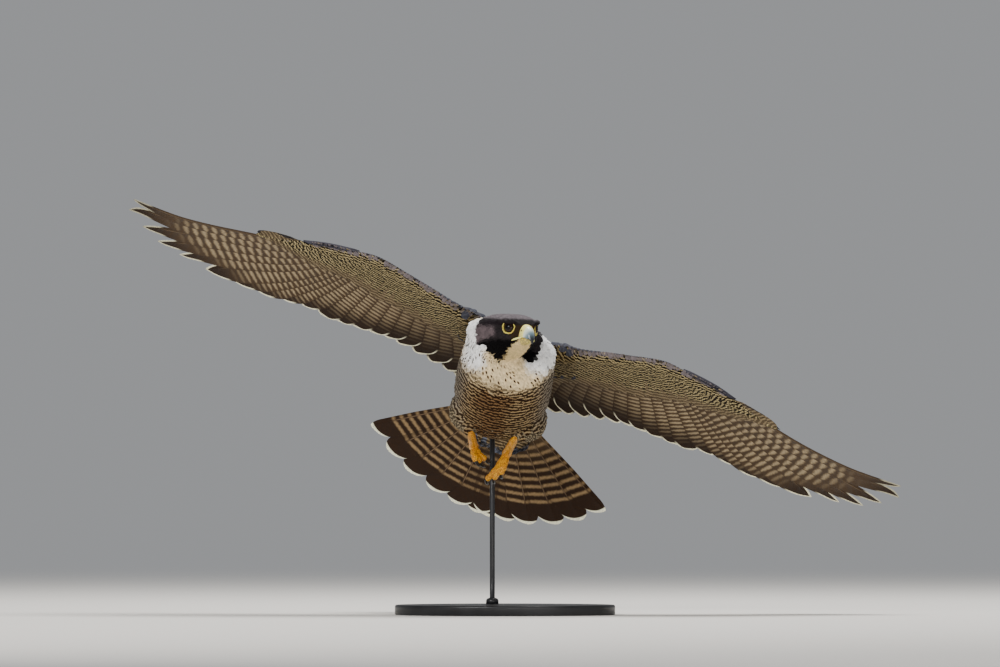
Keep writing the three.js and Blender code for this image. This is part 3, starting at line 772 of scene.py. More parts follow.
def makeRemexMaterial():
    # pale oval spots in rows on the inner vanes, dark tips, slate upper side
    look = remexColours
    material, tree, shader = newMaterial("remex_vane", Roughness=0.6, Specular_IOR_Level=0.1)
    vane = parts(tree, attribute(tree, "vane"))
    across, down, index = vane[0], vane[1], vane[2]
    upper = attribute(tree, "upper", "Fac")
    reach = attribute(tree, "reach", "Fac")
    off = calc(tree, "SUBTRACT", across, calc(tree, "MULTIPLY", reach, 0.5))
    off = calc(tree, "DIVIDE", off, calc(tree, "MULTIPLY", reach, 0.52))
    oval = calc(tree, "SUBTRACT", 1.0, calc(tree, "MULTIPLY", off, off), clamp=True)
    bars = useGroup(tree, barsGroup, From_Tip=down, Across=across, Pitch=remap(tree, index, 8, 19, look["pitch"]),
                    Share=calc(tree, "MULTIPLY", oval, look["fill"]), Bow=0.1, Wander=0.3, Scatter=0.6,
                    Soft=0.2, Seed=calc(tree, "MULTIPLY", index, 0.37))["Mask"]
    inner = remap(tree, across, 0.8, 3.0)
    edge = remap(tree, calc(tree, "ABSOLUTE", off), 1.0, 0.75)
    darkTip = attribute(tree, "dark", "Fac")
    clear = remap(tree, down, darkTip, calc(tree, "ADD", darkTip, look["fade"]))
    spots = calc(tree, "MULTIPLY", calc(tree, "MULTIPLY", bars, inner), calc(tree, "MULTIPLY", edge, clear))
    dark = blendColour(tree, remap(tree, down, 55, 8), look["underDark"], look["underTip"])
    spotted = calc(tree, "MULTIPLY", spots, remap(tree, index, 0, 9, (0.3, 0.85)))
    under = blendColour(tree, spotted, dark, look["pale"])
    over = blendColour(tree, calc(tree, "MULTIPLY", spots, 0.35), look["upper"], look["upperPale"])
    made = blendColour(tree, upper, under, over)
    limit = calc(tree, "SUBTRACT", attribute(tree, "sideReach", "Fac"), calc(tree, "ABSOLUTE", across))
    # pale rim: round the square tips of the secondaries, along the edges of the primaries
    sizes = remexLook["secondary"]
    wide = calc(tree, "MAXIMUM", *(calc(tree, "DIVIDE", across, w) for w in (sizes["inner"], -sizes["outer"])))
    square = calc(tree, "SUBTRACT", down, calc(tree, "MULTIPLY", calc(tree, "POWER", wide, 4.0), 15.0))
    square = calc(tree, "MULTIPLY", remap(tree, square, 3.2, 2.0), remap(tree, index, 11, 9))
    rim = calc(tree, "MAXIMUM", remap(tree, down, 3.2, 1.8), square)
    rim = calc(tree, "MAXIMUM", rim, remap(tree, limit, 2.7, 1.6))
    past = calc(tree, "SUBTRACT", down, remap(tree, index, 8, 14, (8, 24)))
    bright = calc(tree, "MULTIPLY", remap(tree, past, 6, -3), remap(tree, index, 19, 13, (0.4, 0.95)))
    made = blendColour(tree, calc(tree, "MULTIPLY", rim, bright), made, look["rim"])
    finishLargeVane(tree, shader, made, across, down, index, look)
    return material


rectrixColours = {
    "dark": colour(58, 41, 28), "pale": colour(156, 133, 100), "tip": colour(252, 236, 214),
    "base": colour(108, 90, 68), "shaft": colour(150, 128, 104), "upper": colour(74, 74, 82),
    "upperBar": colour(44, 43, 48),
    "pitch": 11.4, "share": 0.38, "bow": -0.16, "darkBand": (27.0, 31.0), "tipWidth": 4.4, "bareTip": (26, 44),
}


def makeRectrixMaterial():
    look = rectrixColours
    material, tree, shader = newMaterial("rectrix_vane", Roughness=0.6, Specular_IOR_Level=0.1)
    vane = parts(tree, attribute(tree, "vane"))
    across, down, index = vane[0], vane[1], vane[2]
    upper = attribute(tree, "upper", "Fac")
    outer = remap(tree, calc(tree, "ABSOLUTE", calc(tree, "SUBTRACT", index, 5.5)), 0.5, 2.5)
    bars = useGroup(tree, barsGroup, From_Tip=calc(tree, "ADD", down, 1.0), Across=across, Pitch=look["pitch"],
                    Share=look["share"], Bow=look["bow"], Wander=0.26, Scatter=0.0, Soft=0.16, Seed=index)["Mask"]
    bars = calc(tree, "MULTIPLY", bars, remap(tree, down, *look["darkBand"]))
    apart = calc(tree, "ABSOLUTE", across)
    paleBars = calc(tree, "MULTIPLY", bars, calc(tree, "ADD", 0.25, calc(tree, "MULTIPLY", outer, 0.65)))
    paleBars = calc(tree, "MULTIPLY", paleBars, remap(tree, across, -6, 1, (0.5, 1)))
    paleBars = calc(tree, "MULTIPLY", paleBars, remap(tree, apart, 0.5, 2.0, (0.3, 1)))
    plain = blendColour(tree, remap(tree, down, 80, 150, (0, 0.8)), look["dark"], look["base"])
    under = blendColour(tree, paleBars, plain, look["pale"])
    over = blendColour(tree, bars, look["upperBar"], look["upper"])
    made = blendColour(tree, upper, under, over)
    bent = calc(tree, "POWER", calc(tree, "DIVIDE", apart, 20.0), 2.5)
    tipEdge = calc(tree, "ADD", look["tipWidth"], calc(tree, "MULTIPLY", bent, 10.0))
    tip = remap(tree, down, calc(tree, "ADD", tipEdge, 0.8), calc(tree, "SUBTRACT", tipEdge, 0.8))
    finishLargeVane(tree, shader, blendColour(tree, tip, made, look["tip"]), across, down, index, look)
    return material


remexVane, rectrixVane = makeRemexMaterial(), makeRectrixMaterial()
remiges = {side: makeRemiges(side, remexVane) for side in (1, -1)}
rectrices = makeRectrices(rectrixVane)
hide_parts("wing_left")
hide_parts("wing_right")
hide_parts("tail")
print("flight feathers made")


# Where a point of the skin lies on the body: its station, and its angle round the station
lookupSides = 72
lookupPlaces = np.linspace(0, len(stations) - 1, 171)
lookupRings = bodyRings(lookupPlaces, lookupSides, along(skinLook["depth"], lookupPlaces))
lookupTree = KDTree(lookupRings.shape[0] * lookupRings.shape[1])
for k, spot in enumerate(lookupRings.reshape(-1, 3)):
    lookupTree.insert(spot, k)
lookupTree.balance()
bodyMiddles = lookupRings.mean(axis=1)
bodyWay = unit(-np.gradient(bodyMiddles, axis=0))  # towards the tail
bodyLength = np.concatenate([[0], np.cumsum(np.linalg.norm(np.diff(bodyMiddles, axis=0), axis=1))])


def bodyPlaces(points):
    found = [lookupTree.find(p)[1:] for p in points]
    index = np.array([f[0] for f in found])
    ring, column = index // lookupSides, index % lookupSides
    return {"ring": ring, "station": lookupPlaces[ring], "angle": turns(lookupSides)[column],
            "off": np.array([f[1] for f in found])}


thighPaths = {side: thighPath(side)[0] for side in (1, -1)}


def thighPlaces(points):  # nearest thigh: share of the way down it, distance from its axis, direction
    best = None
    for side, path in thighPaths.items():
        gaps = np.linalg.norm(points[:, None] - path[None], axis=-1)
        k = gaps.argmin(axis=1)
        found = (gaps[np.arange(len(points)), k], k / (len(path) - 1), unit(np.gradient(path, axis=0))[k])
        if best is None:
            best = found
        else:
            nearer = found[0] < best[0]
            best = tuple(np.where(nearer if a.ndim == 1 else nearer[:, None], b, a) for a, b in zip(best, found))
    return {"gap": best[0], "down": best[1], "way": best[2]}


# Colours and markings of the body and head, shared by the skin and the feathers on it
def tone(*values):
    return np.array(colour(*values)[:3])


coatColours = {
    # crown: a painted sheen, the top of the dark hood made lighter where the light falls on it
    # throat: its buff darkened by painted shade under the bill
    "hood": tone(52, 48, 50), "crown": tone(120, 113, 117), "malar": tone(13, 11, 13), "lore": tone(60, 48, 36),
    "ear": tone(112, 101, 104), "brow": tone(40, 33, 38), "white": tone(252, 249, 246), "throatInShade": tone(204, 184, 142),
    "breast": tone(220, 202, 166), "belly": tone(160, 140, 106), "rufous": tone(120, 88, 58),
    "flank": tone(148, 139, 125), "thigh": tone(152, 140, 117), "bellyBar": tone(52, 35, 22),
    "flankBar": tone(62, 52, 43), "drop": tone(70, 44, 28), "ventTail": tone(158, 140, 110),
    "back": tone(88, 90, 100), "backBar": tone(54, 54, 62), "rump": tone(118, 122, 134),
    "armUnder": tone(150, 136, 104), "armBar": tone(40, 30, 20),
}
# Edges of the markings, in mm: hood by forward and up; barring by side and height in the bird's frame
hoodLine = [
    (-40, -34.5), (-19.5, -34.5), (-13, -32.5), (-7.5, -30.4), (2, -25.7), (11, -20.8), (18.7, -16.7), (26, -12)]
throatLine = [(-34, 8), (-20, 4), (-13, 2.5), (-7.5, 2.4), (2, 5.5), (11, 8), (19, 9.6), (26, 9)]
farThroat = [(-25, 18), (-10, 14), (8, 7), (20, 1)]  # added on the bird's left
backLine = [(6, -36), (8, -34.3), (13.8, -32.3), (19, -28.9), (24.5, -25.1), (28.6, -18.4), (31, -18.4), (35, -17)]
farBackLine = [(10, -34), (20, -33), (31, -30.5), (35, -29), (39, -24), (42, -17), (44, -9), (46, 4)]
rearLine = [(-26, -27), (-19, -26), (-10, -23.4), (-1, -22), (6, -21.5), (10, -24), (13, -34), (17, -70)]  # by up
barLine = [
    (-62, 0), (-44, -35), (-31, -46), (-16, -52), (5, -53), (20, -49), (34, -41), (46, -29), (52, -10), (60, 10)]


def blotch(points, size, seed):  # smooth noise from a few slanted waves, about -1 to 1
    rows = np.random.default_rng(seed)
    total = np.zeros(len(points))
    for k in range(5):
        way = unit(rows.normal(size=3)) * (2 * math.pi / size) * (0.7 + 0.35 * k)
        total += np.sin(points @ way + rows.uniform(0, 6.3)) / (1 + 0.5 * k)
    return total / 2.2


def plumageAt(points):
    c = coatColours
    where, thigh, h = bodyPlaces(points), thighPlaces(points), headSpots(points)
    station, rise = where["station"], np.sin(where["angle"])
    rough = blotch(points, 9, 3)
    wide = blotch(points, 34, 5)
    upper = ramp(rise - along([(0, 0.05), (3.5, 0.15), (5, 0.5), (10, 0.74), (11, 0.62)], station), -0.06, 0.06)
    onTail = ramp(station, 4.4, 3.2)
    upper = mixed(upper, ramp(((points - tailRoot) @ tailTurn)[:, 2], -1.0, 1.0), onTail)
    # under side, from the plain breast over a few drops to the barred belly
    x, y, z = points.T
    below = along(barLine, x) + 7 - z + 0.8 * np.maximum(y + 60, 0) + 2.6 * rough
    flank = ramp(np.abs(where["angle"] / math.pi - 1.5), 0.2, 0.38)
    ground = mixed(c["breast"], c["belly"], ramp(below, -8, 14))
    warm = ramp(-np.abs(x - 4) + 7 * wide, -30, -8) * ramp(below, -2, 14) * ramp(y, 60, 20)
    ground = mixed(ground, c["rufous"], 0.75 * warm)
    ground = mixed(ground, c["flank"], flank * ramp(below, -6, 12))
    mark = mixed(c["bellyBar"], c["flankBar"], flank)
    bars = ramp(below, -9, 7)
    drop = ramp(below, -26, -12) * ramp(below, 6, -1) * (0.35 + 0.65 * (rough > -0.2))
    pitch = mixed(5.2, 4.4, flank)
    ground, pitch = mixed(ground, c["ventTail"], onTail), mixed(pitch, 5.2, onTail)
    bars = mixed(bars, 0.85, onTail)
    onThigh = ramp(where["off"], 1.2, 3.0) * ramp(thigh["gap"], 32, 28)
    ground, mark = mixed(ground, c["thigh"], onThigh), mixed(mark, c["flankBar"], onThigh)
    bars, drop, pitch = mixed(bars, 0.85, onThigh), drop * (1 - onThigh), mixed(pitch, 4.2, onThigh)
    # slate upper side
    slate = mixed(c["back"], c["rump"], ramp(station, 6.0, 4.4))
    ground, mark = mixed(ground, slate, upper), mixed(mark, c["backBar"], upper)
    bars, drop, pitch = mixed(bars, 0.6, upper), drop * (1 - upper), mixed(pitch, 6.0, upper)
    # head: buff throat darkened by painted shade under the bill, white neck sides, dark hood with a painted sheen on
    # the crown, down to the black patch under the eye
    onHead = ramp(station, 9.9, 10.5)
    side, forward, up = np.abs(h[:, 0]), h[:, 1], h[:, 2]
    whiter = ramp(side, 20, 29) * ramp(up, -50, -34)
    ground = mixed(ground, c["white"], ramp(station, 8.4, 9.4) * whiter * (1 - bars) * ramp(rise, 0.86, 0.7))
    # painted shade: near the middle, under the bill, the buff throat colour is darker
    pale = mixed(c["breast"], c["throatInShade"], ramp(side, 18, 12) * ramp(forward, -22, -6))
    pale = mixed(pale, c["white"], whiter)
    near = h[:, 0] < 0
    rear = np.where(near, along(backLine, side), along(farBackLine, side))
    lowest = np.maximum(along(hoodLine, forward), np.where(forward < -10, rear, -60))
    line = up - lowest + 1.2 * rough
    inner = along(throatLine, forward) + np.where(near, 0, along(farThroat, forward))
    patch = ramp(line, -0.8, 0.8) * ramp(side - inner + rough, -0.8, 0.8)
    hood = np.maximum(patch, ramp(up, -9, -5)) * ramp(line, -0.8, 0.8)
    nape = np.where(near, along(rearLine, up), np.minimum(along(rearLine, up), -31))
    hood = hood * ramp(forward - nape + 0.8 * rough, -0.8, 0.8)
    hood = np.maximum(hood, ramp(rise, 0.78, 0.9) * ramp(forward, -14, -20))
    # painted sheen: the crown colour lightens the top of the head
    dark = mixed(c["hood"], c["crown"], ramp(up, 9.5, 12.5) * (0.8 + 0.2 * rough))
    behind = np.minimum(forward, 0)
    ear = ramp(up, -9 + 0.4 * behind, -4 + 0.4 * behind) * ramp(up, 5, 0.5) * ramp(forward, 8, 0) * near
    dark = mixed(dark, c["ear"], np.clip(ear * (0.85 + 0.3 * rough), 0, 1) * ramp(side, 17, 22))
    dark = mixed(dark, c["brow"], np.exp(-((up - 6.6) / 2.4) ** 2) * ramp(forward, -16, -8) * ramp(side, 9, 12))
    lobe = np.maximum(ramp(forward, -24, -17), ramp(up, -21, -26))
    dark = mixed(dark, c["malar"], ramp(up - 0.22 * behind + rough, -8, -13) * np.where(near, lobe, 1))
    dark = mixed(dark, c["lore"], ramp(forward, 19, 22) * ramp(np.abs(up + 2), 8.5, 5.5) * ramp(side, 18, 14))
    ground = mixed(ground, mixed(pale, dark, hood), onHead)
    mark = mixed(mark, mixed(c["drop"], c["malar"], hood), onHead)
    bars, drop = bars * (1 - onHead), drop * (1 - onHead * hood)
    # the fleshy wing's skin under its coverts
    out = np.abs(x)
    arm = ramp(where["off"], 2, 6) * (1 - onThigh) * (out > 36) * (y > along(wingShape["frontEdge"], out) - 6)
    wing = [wingPoint(way, out, y, 0 * x)[:, 2] for way in (1, -1)]
    top = ramp(z - np.where(x > 0, *wing), -1.6, -0.6)
    ground = mixed(ground, mixed(c["armUnder"], c["back"], top), arm)
    mark = mixed(mark, mixed(c["armBar"], c["backBar"], top), arm)
    bars, pitch = mixed(bars, 0.95 - 0.5 * top, arm), mixed(pitch, 5.0, arm)
    # place of the bars, so that they run on from one feather to the next
    ring = where["ring"]
    lift = ((points - bodyMiddles[ring]) * -bodyWay[ring]).sum(axis=1)
    align = bodyLength[ring] + lift + 1.3 * blotch(points, 26, 8)
    align = np.where(onThigh > 0.5, -thigh["down"] * 95 + 1.2 * blotch(points, 22, 9), align)
    return {"ground": ground, "mark": mark, "bars": bars, "drop": drop, "pitch": pitch, "where": where,
            "thigh": thigh, "onThigh": onThigh, "arm": arm, "upper": upper, "h": h, "align": align}


def fourth(rows):  # colour rows with their alpha
    return np.concatenate([np.clip(rows, 0, 1), np.ones((len(rows), 1))], axis=1)


def carveHead(points):  # eye wells in the remeshed skin
    h = headSpots(points)
    side = np.where(h[:, 0] < 0, -1, 1)
    arm = nearSide(h) - eyeMiddle
    gap = np.linalg.norm(arm, axis=1)
    off = np.degrees(np.arccos(np.clip(unit(arm) @ eyeWay, -1, 1)))
    well = ramp(off, 58, 42) * (gap < 18) * (h[:, 1] > 0) * ramp(arm[:, 2], 7.0, 5.5)
    arm = arm * mixed(1, np.minimum(7.0 / np.maximum(gap, 1), 1), well)[:, None]
    spot = arm + eyeMiddle
    spot[:, 0] *= side
    return inHead(spot)


def fluffNeck(points):  # fuller plumage where the neck meets the wings
    moved = points.copy()
    for middle, way, rise, reach in skinLook["neckFluff"]:
        gap = np.linalg.norm(points - middle, axis=1)
        moved += (ramp(gap, reach, 0) * rise)[:, None] * unit(np.array(way, float))
    return moved


inHeadZone = headSpots(skinPoints)[:, 1] > -6
skinPoints[inHeadZone] = carveHead(skinPoints[inHeadZone])
skinPoints = fluffNeck(skinPoints)
skinMarks = plumageAt(skinPoints)
skin = addMesh("skin", skinPoints, [skinQuads], skinPlumage)
where = skinMarks["where"]
addValues(
    skin, ground=fourth(skinMarks["ground"]), mark=fourth(skinMarks["mark"]), pitch=skinMarks["pitch"],
    vane=np.stack([0 * where["angle"], skinMarks["align"], 1 + 0 * where["angle"]], -1),
    code=np.stack([0.8 * skinMarks["bars"], 0 * where["angle"], 0 * where["angle"]], -1))
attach(skin, "root")
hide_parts("trunk", "neck", "head", "thigh_left", "thigh_right")
print("skin made", len(skinPoints))

# Contour feathers, scattered over the skin and laid along it
coatLook = {
    "seed": 11, "candidates": 9, "bareRing": 8.6, "armEnd": 72,
    # by station of the body, from the tail on
    "length": [
        (0, 34), (3, 26), (5, 18), (8, 15), (10, 12), (11.2, 8.5), (12.5, 6), (14, 4.6), (15.5, 3.6), (17, 2.6)],
    "half": [
        (0, 7), (3, 6), (5, 5.2), (8, 4.8), (10, 3.8), (11.2, 2.6), (12.5, 1.75), (14, 1.35), (15.5, 1.05),
        (17, 0.8)],
    "space": [
        (0, 7), (3, 6.2), (5, 5.6), (8, 5.2), (10, 4.2), (11.2, 2.9), (12.5, 2.0), (14, 1.6), (15.5, 1.3),
        (17, 1.05)],
    # by the share of the way down the thigh
    "thighLength": [(0, 15), (0.6, 12), (0.85, 8), (1, 5)],
    "thighHalf": [(0, 4.4), (0.6, 3.6), (0.85, 2.3), (1, 1.5)],
    "thighSpace": [(0, 5), (0.6, 4.0), (0.85, 2.8), (1, 1.9)],
    "stations": [0, 0.22, 0.5, 0.76, 0.92, 1], "shape": [0.35, 0.8, 1, 0.92, 0.6, 0.14],
    "thick": 0.024, "cup": 0.14, "yaw": 0.1, "lift": (0.12, 0.86), "shift": 0.09,
}


def scatter(rows, points, quads, spaceOf):  # seeded darts, none nearer than the local spacing
    tri = np.concatenate([quads[:, [0, 1, 2]], quads[:, [0, 2, 3]]])
    a, b, c = (points[tri[:, k]] for k in range(3))
    cross = np.cross(b - a, c - a)
    area = np.linalg.norm(cross, axis=1) / 2
    space = spaceOf[tri[:, 0]]
    weight = np.where(space > 0, area / np.maximum(space, 0.5) ** 2, 0)
    count = int(weight.sum() * coatLook["candidates"])
    pick = rows.choice(len(tri), count, p=weight / weight.sum())
    u, v = rows.random((2, count))
    fold = u + v > 1
    u, v = np.where(fold, 1 - u, u), np.where(fold, 1 - v, v)
    darts = a[pick] + (b - a)[pick] * u[:, None] + (c - a)[pick] * v[:, None]
    gap = space[pick] * 0.86
    cell = 6.0
    cells, kept = {}, []
    keys = np.floor(darts / cell).astype(int).tolist()
    spots, gaps = darts.tolist(), gap.tolist()
    around = [(i, j, k) for i in (-1, 0, 1) for j in (-1, 0, 1) for k in (-1, 0, 1)]
    for n, (kx, ky, kz) in enumerate(keys):
        x, y, z = spots[n]
        limit, free = gaps[n] ** 2, True
        for i, j, k in around:
            for px, py, pz in cells.get((kx + i, ky + j, kz + k), ()):
                if (x - px) ** 2 + (y - py) ** 2 + (z - pz) ** 2 < limit:
                    free = False
                    break
            if not free:
                break
        if free:
            cells.setdefault((kx, ky, kz), []).append((x, y, z))
            kept.append(n)
    return darts[kept]


def flowAt(marks):  # the lie of the plumage
    where, h = marks["where"], marks["h"]
    way = bodyWay[where["ring"]]
    below = ramp(h[:, 2], 6, -6)[:, None]
    faceWay = unit(np.stack([0 * h[:, 0], 0 * h[:, 0] - 1, 0 * h[:, 0]], -1) + below * np.array((0, 0, -0.55)))
    faceWay = (faceWay * mirrorY) @ headTurn.T
    way = mixed(way, faceWay, ramp(where["station"], 11.2, 12.6))
    way = mixed(way, marks["thigh"]["way"], marks["onThigh"])
    return unit(way)


def makeCoat():
    look = coatLook
    rows = np.random.default_rng(look["seed"])

    def sized(part, marks):  # a table of the body's stations, blended into the thigh's own
        body, thigh = along(look[part], marks["where"]["station"]), "thigh" + part.capitalize()
        return mixed(body, along(look[thigh], marks["thigh"]["down"]), marks["onThigh"])

    space, h = sized("space", skinMarks), skinMarks["h"]
    arm = nearSide(h) - eyeMiddle
    out, gap = arm @ eyeWay, np.linalg.norm(arm, axis=1)
    bare = (gap < 13) & (gap ** 2 - out ** 2 < look["bareRing"] ** 2) & (out > 0) & (arm[:, 2] < 5.6)
    space = np.where(bare | (h[:, 1] > 26.2), 0, space)
    space = np.where((skinMarks["arm"] > 0.5) & (np.abs(skinPoints[:, 0]) > look["armEnd"]), 0, space)
    roots = scatter(rows, skinPoints, skinQuads, space)
    tree = BVHTree.FromPolygons(skinPoints.tolist(), skinQuads.tolist())
    marks = plumageAt(roots)
    station, n = marks["where"]["station"], len(roots)
    length = sized("length", marks) * rows.uniform(0.88, 1.12, n)
    half = sized("half", marks) * rows.uniform(0.9, 1.1, n)
    depth = mixed(-along(skinLook["depth"], station), 1.6, marks["onThigh"]) + 0.25
    yaw = rows.normal(0, look["yaw"], n)
    t = np.array(look["stations"])
    low, high = look["lift"]
    lift = (low + (high - low) * t)[None] * depth[:, None] * rows.uniform(0.9, 1.15, n)[:, None]
    flow = flowAt(marks)
    centres, ups = np.empty((n, len(t), 3)), np.empty((n, len(t), 3))
    spots, ways = roots.copy(), flow.copy()
    for k in range(len(t)):
        if k:
            spots = spots + ways * (length * (t[k] - t[k - 1]))[:, None]
        found = [tree.find_nearest(p) for p in spots]
        spots = np.array([f[0] for f in found])
        normal = np.array([f[1] for f in found])
        ways = unit(ways - (ways * normal).sum(1, keepdims=True) * normal)
        if k == 0:
            ways = unit(ways + np.cross(normal, ways) * yaw[:, None])
        centres[:, k], ups[:, k] = spots, normal
    ups[:, 1:-1] = unit(ups[:, :-2] + 2 * ups[:, 1:-1] + ups[:, 2:])
    centres = centres + ups * lift[..., None]
    way = unit(np.gradient(centres, axis=1))
    sides = unit(np.cross(way, ups))
    reach = half[:, None] * np.array(look["shape"])
    width = sectionWidths(reach, reach, smallVane)
    height = smallVane[:, 1] * (look["thick"] * length)[:, None, None]
    height = height - look["cup"] * half[:, None, None] * smallVane[:, 0] ** 2
    grid = centres[:, :, None] + sides[:, :, None] * width[..., None] + ups[:, :, None] * height[..., None]
    # feathers that reach a rim from below show above it, so they are slate too
    rim = ((ups[:, -1, 2] > -0.35) & ((marks["arm"] > 0.5) | (station < 1.6)))[:, None]
    c = coatColours
    marks["ground"] = np.where(rim, np.where(station[:, None] < 3, c["rump"], c["back"]), marks["ground"])
    marks["mark"] = np.where(rim, c["backBar"], marks["mark"])
    pitch = marks["pitch"]
    seed = (marks["align"] - length) / pitch + rows.normal(0, look["shift"], n)
    return {"grid": grid, "centres": centres, "width": width, "half": half, "marks": marks, "seed": seed % 1,
            "count": n, "roots": roots}


coat = makeCoat()
print("feathers laid", coat["count"])


def addPlumageValues(piece, ground, mark, pitch, down, half, bars, drop, seed):
    # what the plumage material reads, from one value for each feather; down is the whole grid's
    full = lambda values: spread(values, down.shape).ravel()
    perFeather = down[0].size
    share = np.broadcast_to(smallVane[:, 0], down.shape).ravel()
    ground, mark = (np.repeat(fourth(part), perFeather, axis=0) for part in (ground, mark))
    addValues(piece, ground=ground, mark=mark, pitch=full(pitch),
              vane=np.stack([share, down.ravel(), full(half)], -1),
              code=np.stack([full(bars), full(drop), full(seed)], -1))


def addCoatPiece(name, chosen):
    grid, width = coat["grid"][chosen], coat["width"][chosen]
    piece = addVanes(name, grid, smallVane, plumage)
    marks, rows = coat["marks"], np.random.default_rng(23)
    shade = rows.uniform(0.84, 1.14, len(grid))[:, None]
    dropped = marks["drop"][chosen] * (rows.random(len(grid)) < 0.7)
    down = spread(fromTip(coat["centres"][chosen]), width.shape)
    addPlumageValues(piece, marks["ground"][chosen] * shade, marks["mark"][chosen] * shade, marks["pitch"][chosen],
                     down, coat["half"][chosen], marks["bars"][chosen], dropped, coat["seed"][chosen])
    where, thigh, (x, y, _) = marks["where"], marks["thigh"], coat["roots"][chosen].T
    place = np.stack([where["angle"] / (2 * math.pi), where["station"] / 17], -1)[chosen]
    onThigh = marks["onThigh"][chosen] > 0.5
    thighAt = skinLook["thighTop"][0]
    around = np.arctan2(y, x - np.where(x > 0, thighAt, -thighAt))
    place[onThigh] = np.stack([around / (2 * math.pi) + 0.5, 0.03 + 0.16 * thigh["down"][chosen]], -1)[onThigh]
    place = 0.01 + 0.98 * place
    across = (width / np.maximum(coat["half"][chosen], 0.1)[:, None, None]).reshape(len(grid), -1)
    down = down.reshape(len(grid), -1)
    along01 = down / np.maximum(down.max(axis=1, keepdims=True), 0.1)
    spots = [place[:, :1] + 0.0015 * across, place[:, 1:] + 0.003 * (along01 - 0.5)]
    addBakeMap(piece, np.stack(spots, -1).reshape(-1, 2))
    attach(piece, "root")
    return piece


headZone = coat["marks"]["where"]["station"] > 11.3
leftZone = coat["marks"]["h"][:, 0] > 0
thighZone = (coat["marks"]["onThigh"] > 0.5) & ~headZone
upperZone = (coat["marks"]["upper"] > 0.5) & ~headZone & ~thighZone
addCoatPiece("coat_head_left", headZone & leftZone)
addCoatPiece("coat_head_right", headZone & ~leftZone)
addCoatPiece("coat_thighs", thighZone)
addCoatPiece("coat_back", upperZone)
addCoatPiece("coat_under", ~headZone & ~thighZone & ~upperZone)
for piece in bpy.data.objects:
    if piece.name.startswith("coat_"):
        print(piece.name, len(piece.data.loops) - 2 * len(piece.data.polygons), "triangles")

# Wing coverts: rows of barred feathers under the wing and slate ones over it.
# A row is laid by remex number and by distance behind the bone line, in mm.
covertLook = {
    "seed": 31, "stations": [0, 0.25, 0.5, 0.75, 0.92, 1], "shape": [0.4, 0.85, 1, 0.92, 0.6, 0.14],
    "thick": 0.5, "cup": 0.1, "sink": 0.75, "rise": 1.15, "remexDrop": 0.75, "shift": 0.07,
    # where each row's feathers end, their length, half width, step along the wing, how strongly barred
    "under": [
        (73, 55, 9.5, 0.8, 0.75), (61, 40, 8.4, 0.75, 0.9), (52, 31, 7.2, 0.68, 1.0), (43, 26, 6.6, 0.66, 1.0),
        (34, 23, 6.2, 0.64, 1.0), (26, 21, 5.8, 0.62, 1.0), (18, 18, 5.4, 0.6, 1.0),
        (10, 16, 5.0, 0.58, 1.0), (2, 14, 4.5, 0.54, 1.0), (-5, 12, 4.0, 0.5, 1.0),
        (-10.5, 10, 3.5, 0.46, 1.0), (-15, 8.5, 3.0, 0.42, 1.0), (-19, 7.5, 2.8, 0.4, 1.0),
        (-23, 7, 2.8, 0.4, 1.0), (-27, 7, 2.8, 0.4, 1.0)],
    "upper": [
        (78, 58, 9.5, 0.8, 0.5), (60, 38, 8.0, 0.75, 0.5), (49, 28, 6.8, 0.66, 0.45), (40, 24, 6.2, 0.62, 0.4),
        (31, 21, 5.7, 0.58, 0.35), (23, 18, 5.2, 0.55, 0.3), (15, 16, 4.8, 0.52, 0.25), (8, 14, 4.4, 0.5, 0.2),
        (1, 12, 4.0, 0.46, 0.1), (-5, 10, 3.5, 0.44, 0.0), (-10, 9, 3.0, 0.4, 0.0), (-15, 7, 2.6, 0.38, 0.0)],
}
covertColours = {
    "buff": tone(174, 160, 124), "dark": tone(24, 17, 11), "grey": tone(138, 124, 100), "greyBar": tone(76, 62, 47),
    "edge": tone(124, 116, 118), "upper": tone(90, 90, 97), "upperBar": tone(56, 57, 66),
    "upperFar": tone(64, 62, 68),
}


def boneLines():
    # bone line, feather way and leading edge by remex number, from the shoulder (-5) past the outermost remex (19)
    w = wingShape
    elbow, shoulder = np.array(w["elbow"], float), np.array(w["shoulder"], float)
    number, root, tip = [], [], []
    for k in range(-5, 0):
        number.append(k)
        root.append(mixed(elbow, shoulder, (-k - 0.2) / 5))
        tip.append((56 + 2.4 * k, 128 + k))
    for k in range(20):
        number.append(k)
        root.append(remexRoots[k])
        tip.append(remexTips[k])
    last = remexTips[19] - remexRoots[19]
    for k in range(20, 25):
        number.append(k)
        root.append(remexRoots[19] + last * 0.065 * (k - 19) + (0, 1.0))
        tip.append(remexTips[19] + (0, 8.0 * (k - 19)))
    root, tip = np.array(root), np.array(tip)
    front = np.stack([root[:, 0], along(w["frontEdge"], root[:, 0])], -1)
    front[:, 1] = np.minimum(front[:, 1], root[:, 1] - 1.5)
    front[-6:, 1] = np.maximum(front[-6:, 1], root[-6:, 1] - (7, 5, 3.5, 2.5, 1.5, 1.5))
    return np.array(number, float), root, unit(tip - root), front


boneNumber, boneRoot, boneWay, boneFront = boneLines()


def onBone(table, number):
    return np.stack([np.interp(number, boneNumber, table[:, a]) for a in (0, 1)], -1)


def covertSpot(number, back):  # plan place, by remex number and distance behind the bone line
    root, way, front = onBone(boneRoot, number), unit(onBone(boneWay, number)), onBone(boneFront, number)
    ahead = unit(front - root)
    room = np.linalg.norm(front - root, axis=-1)
    step = np.where(back >= 0, back, 0)[..., None] * way
    return root + step + ahead * np.minimum(np.where(back < 0, -back, 0), room - 0.6)[..., None]


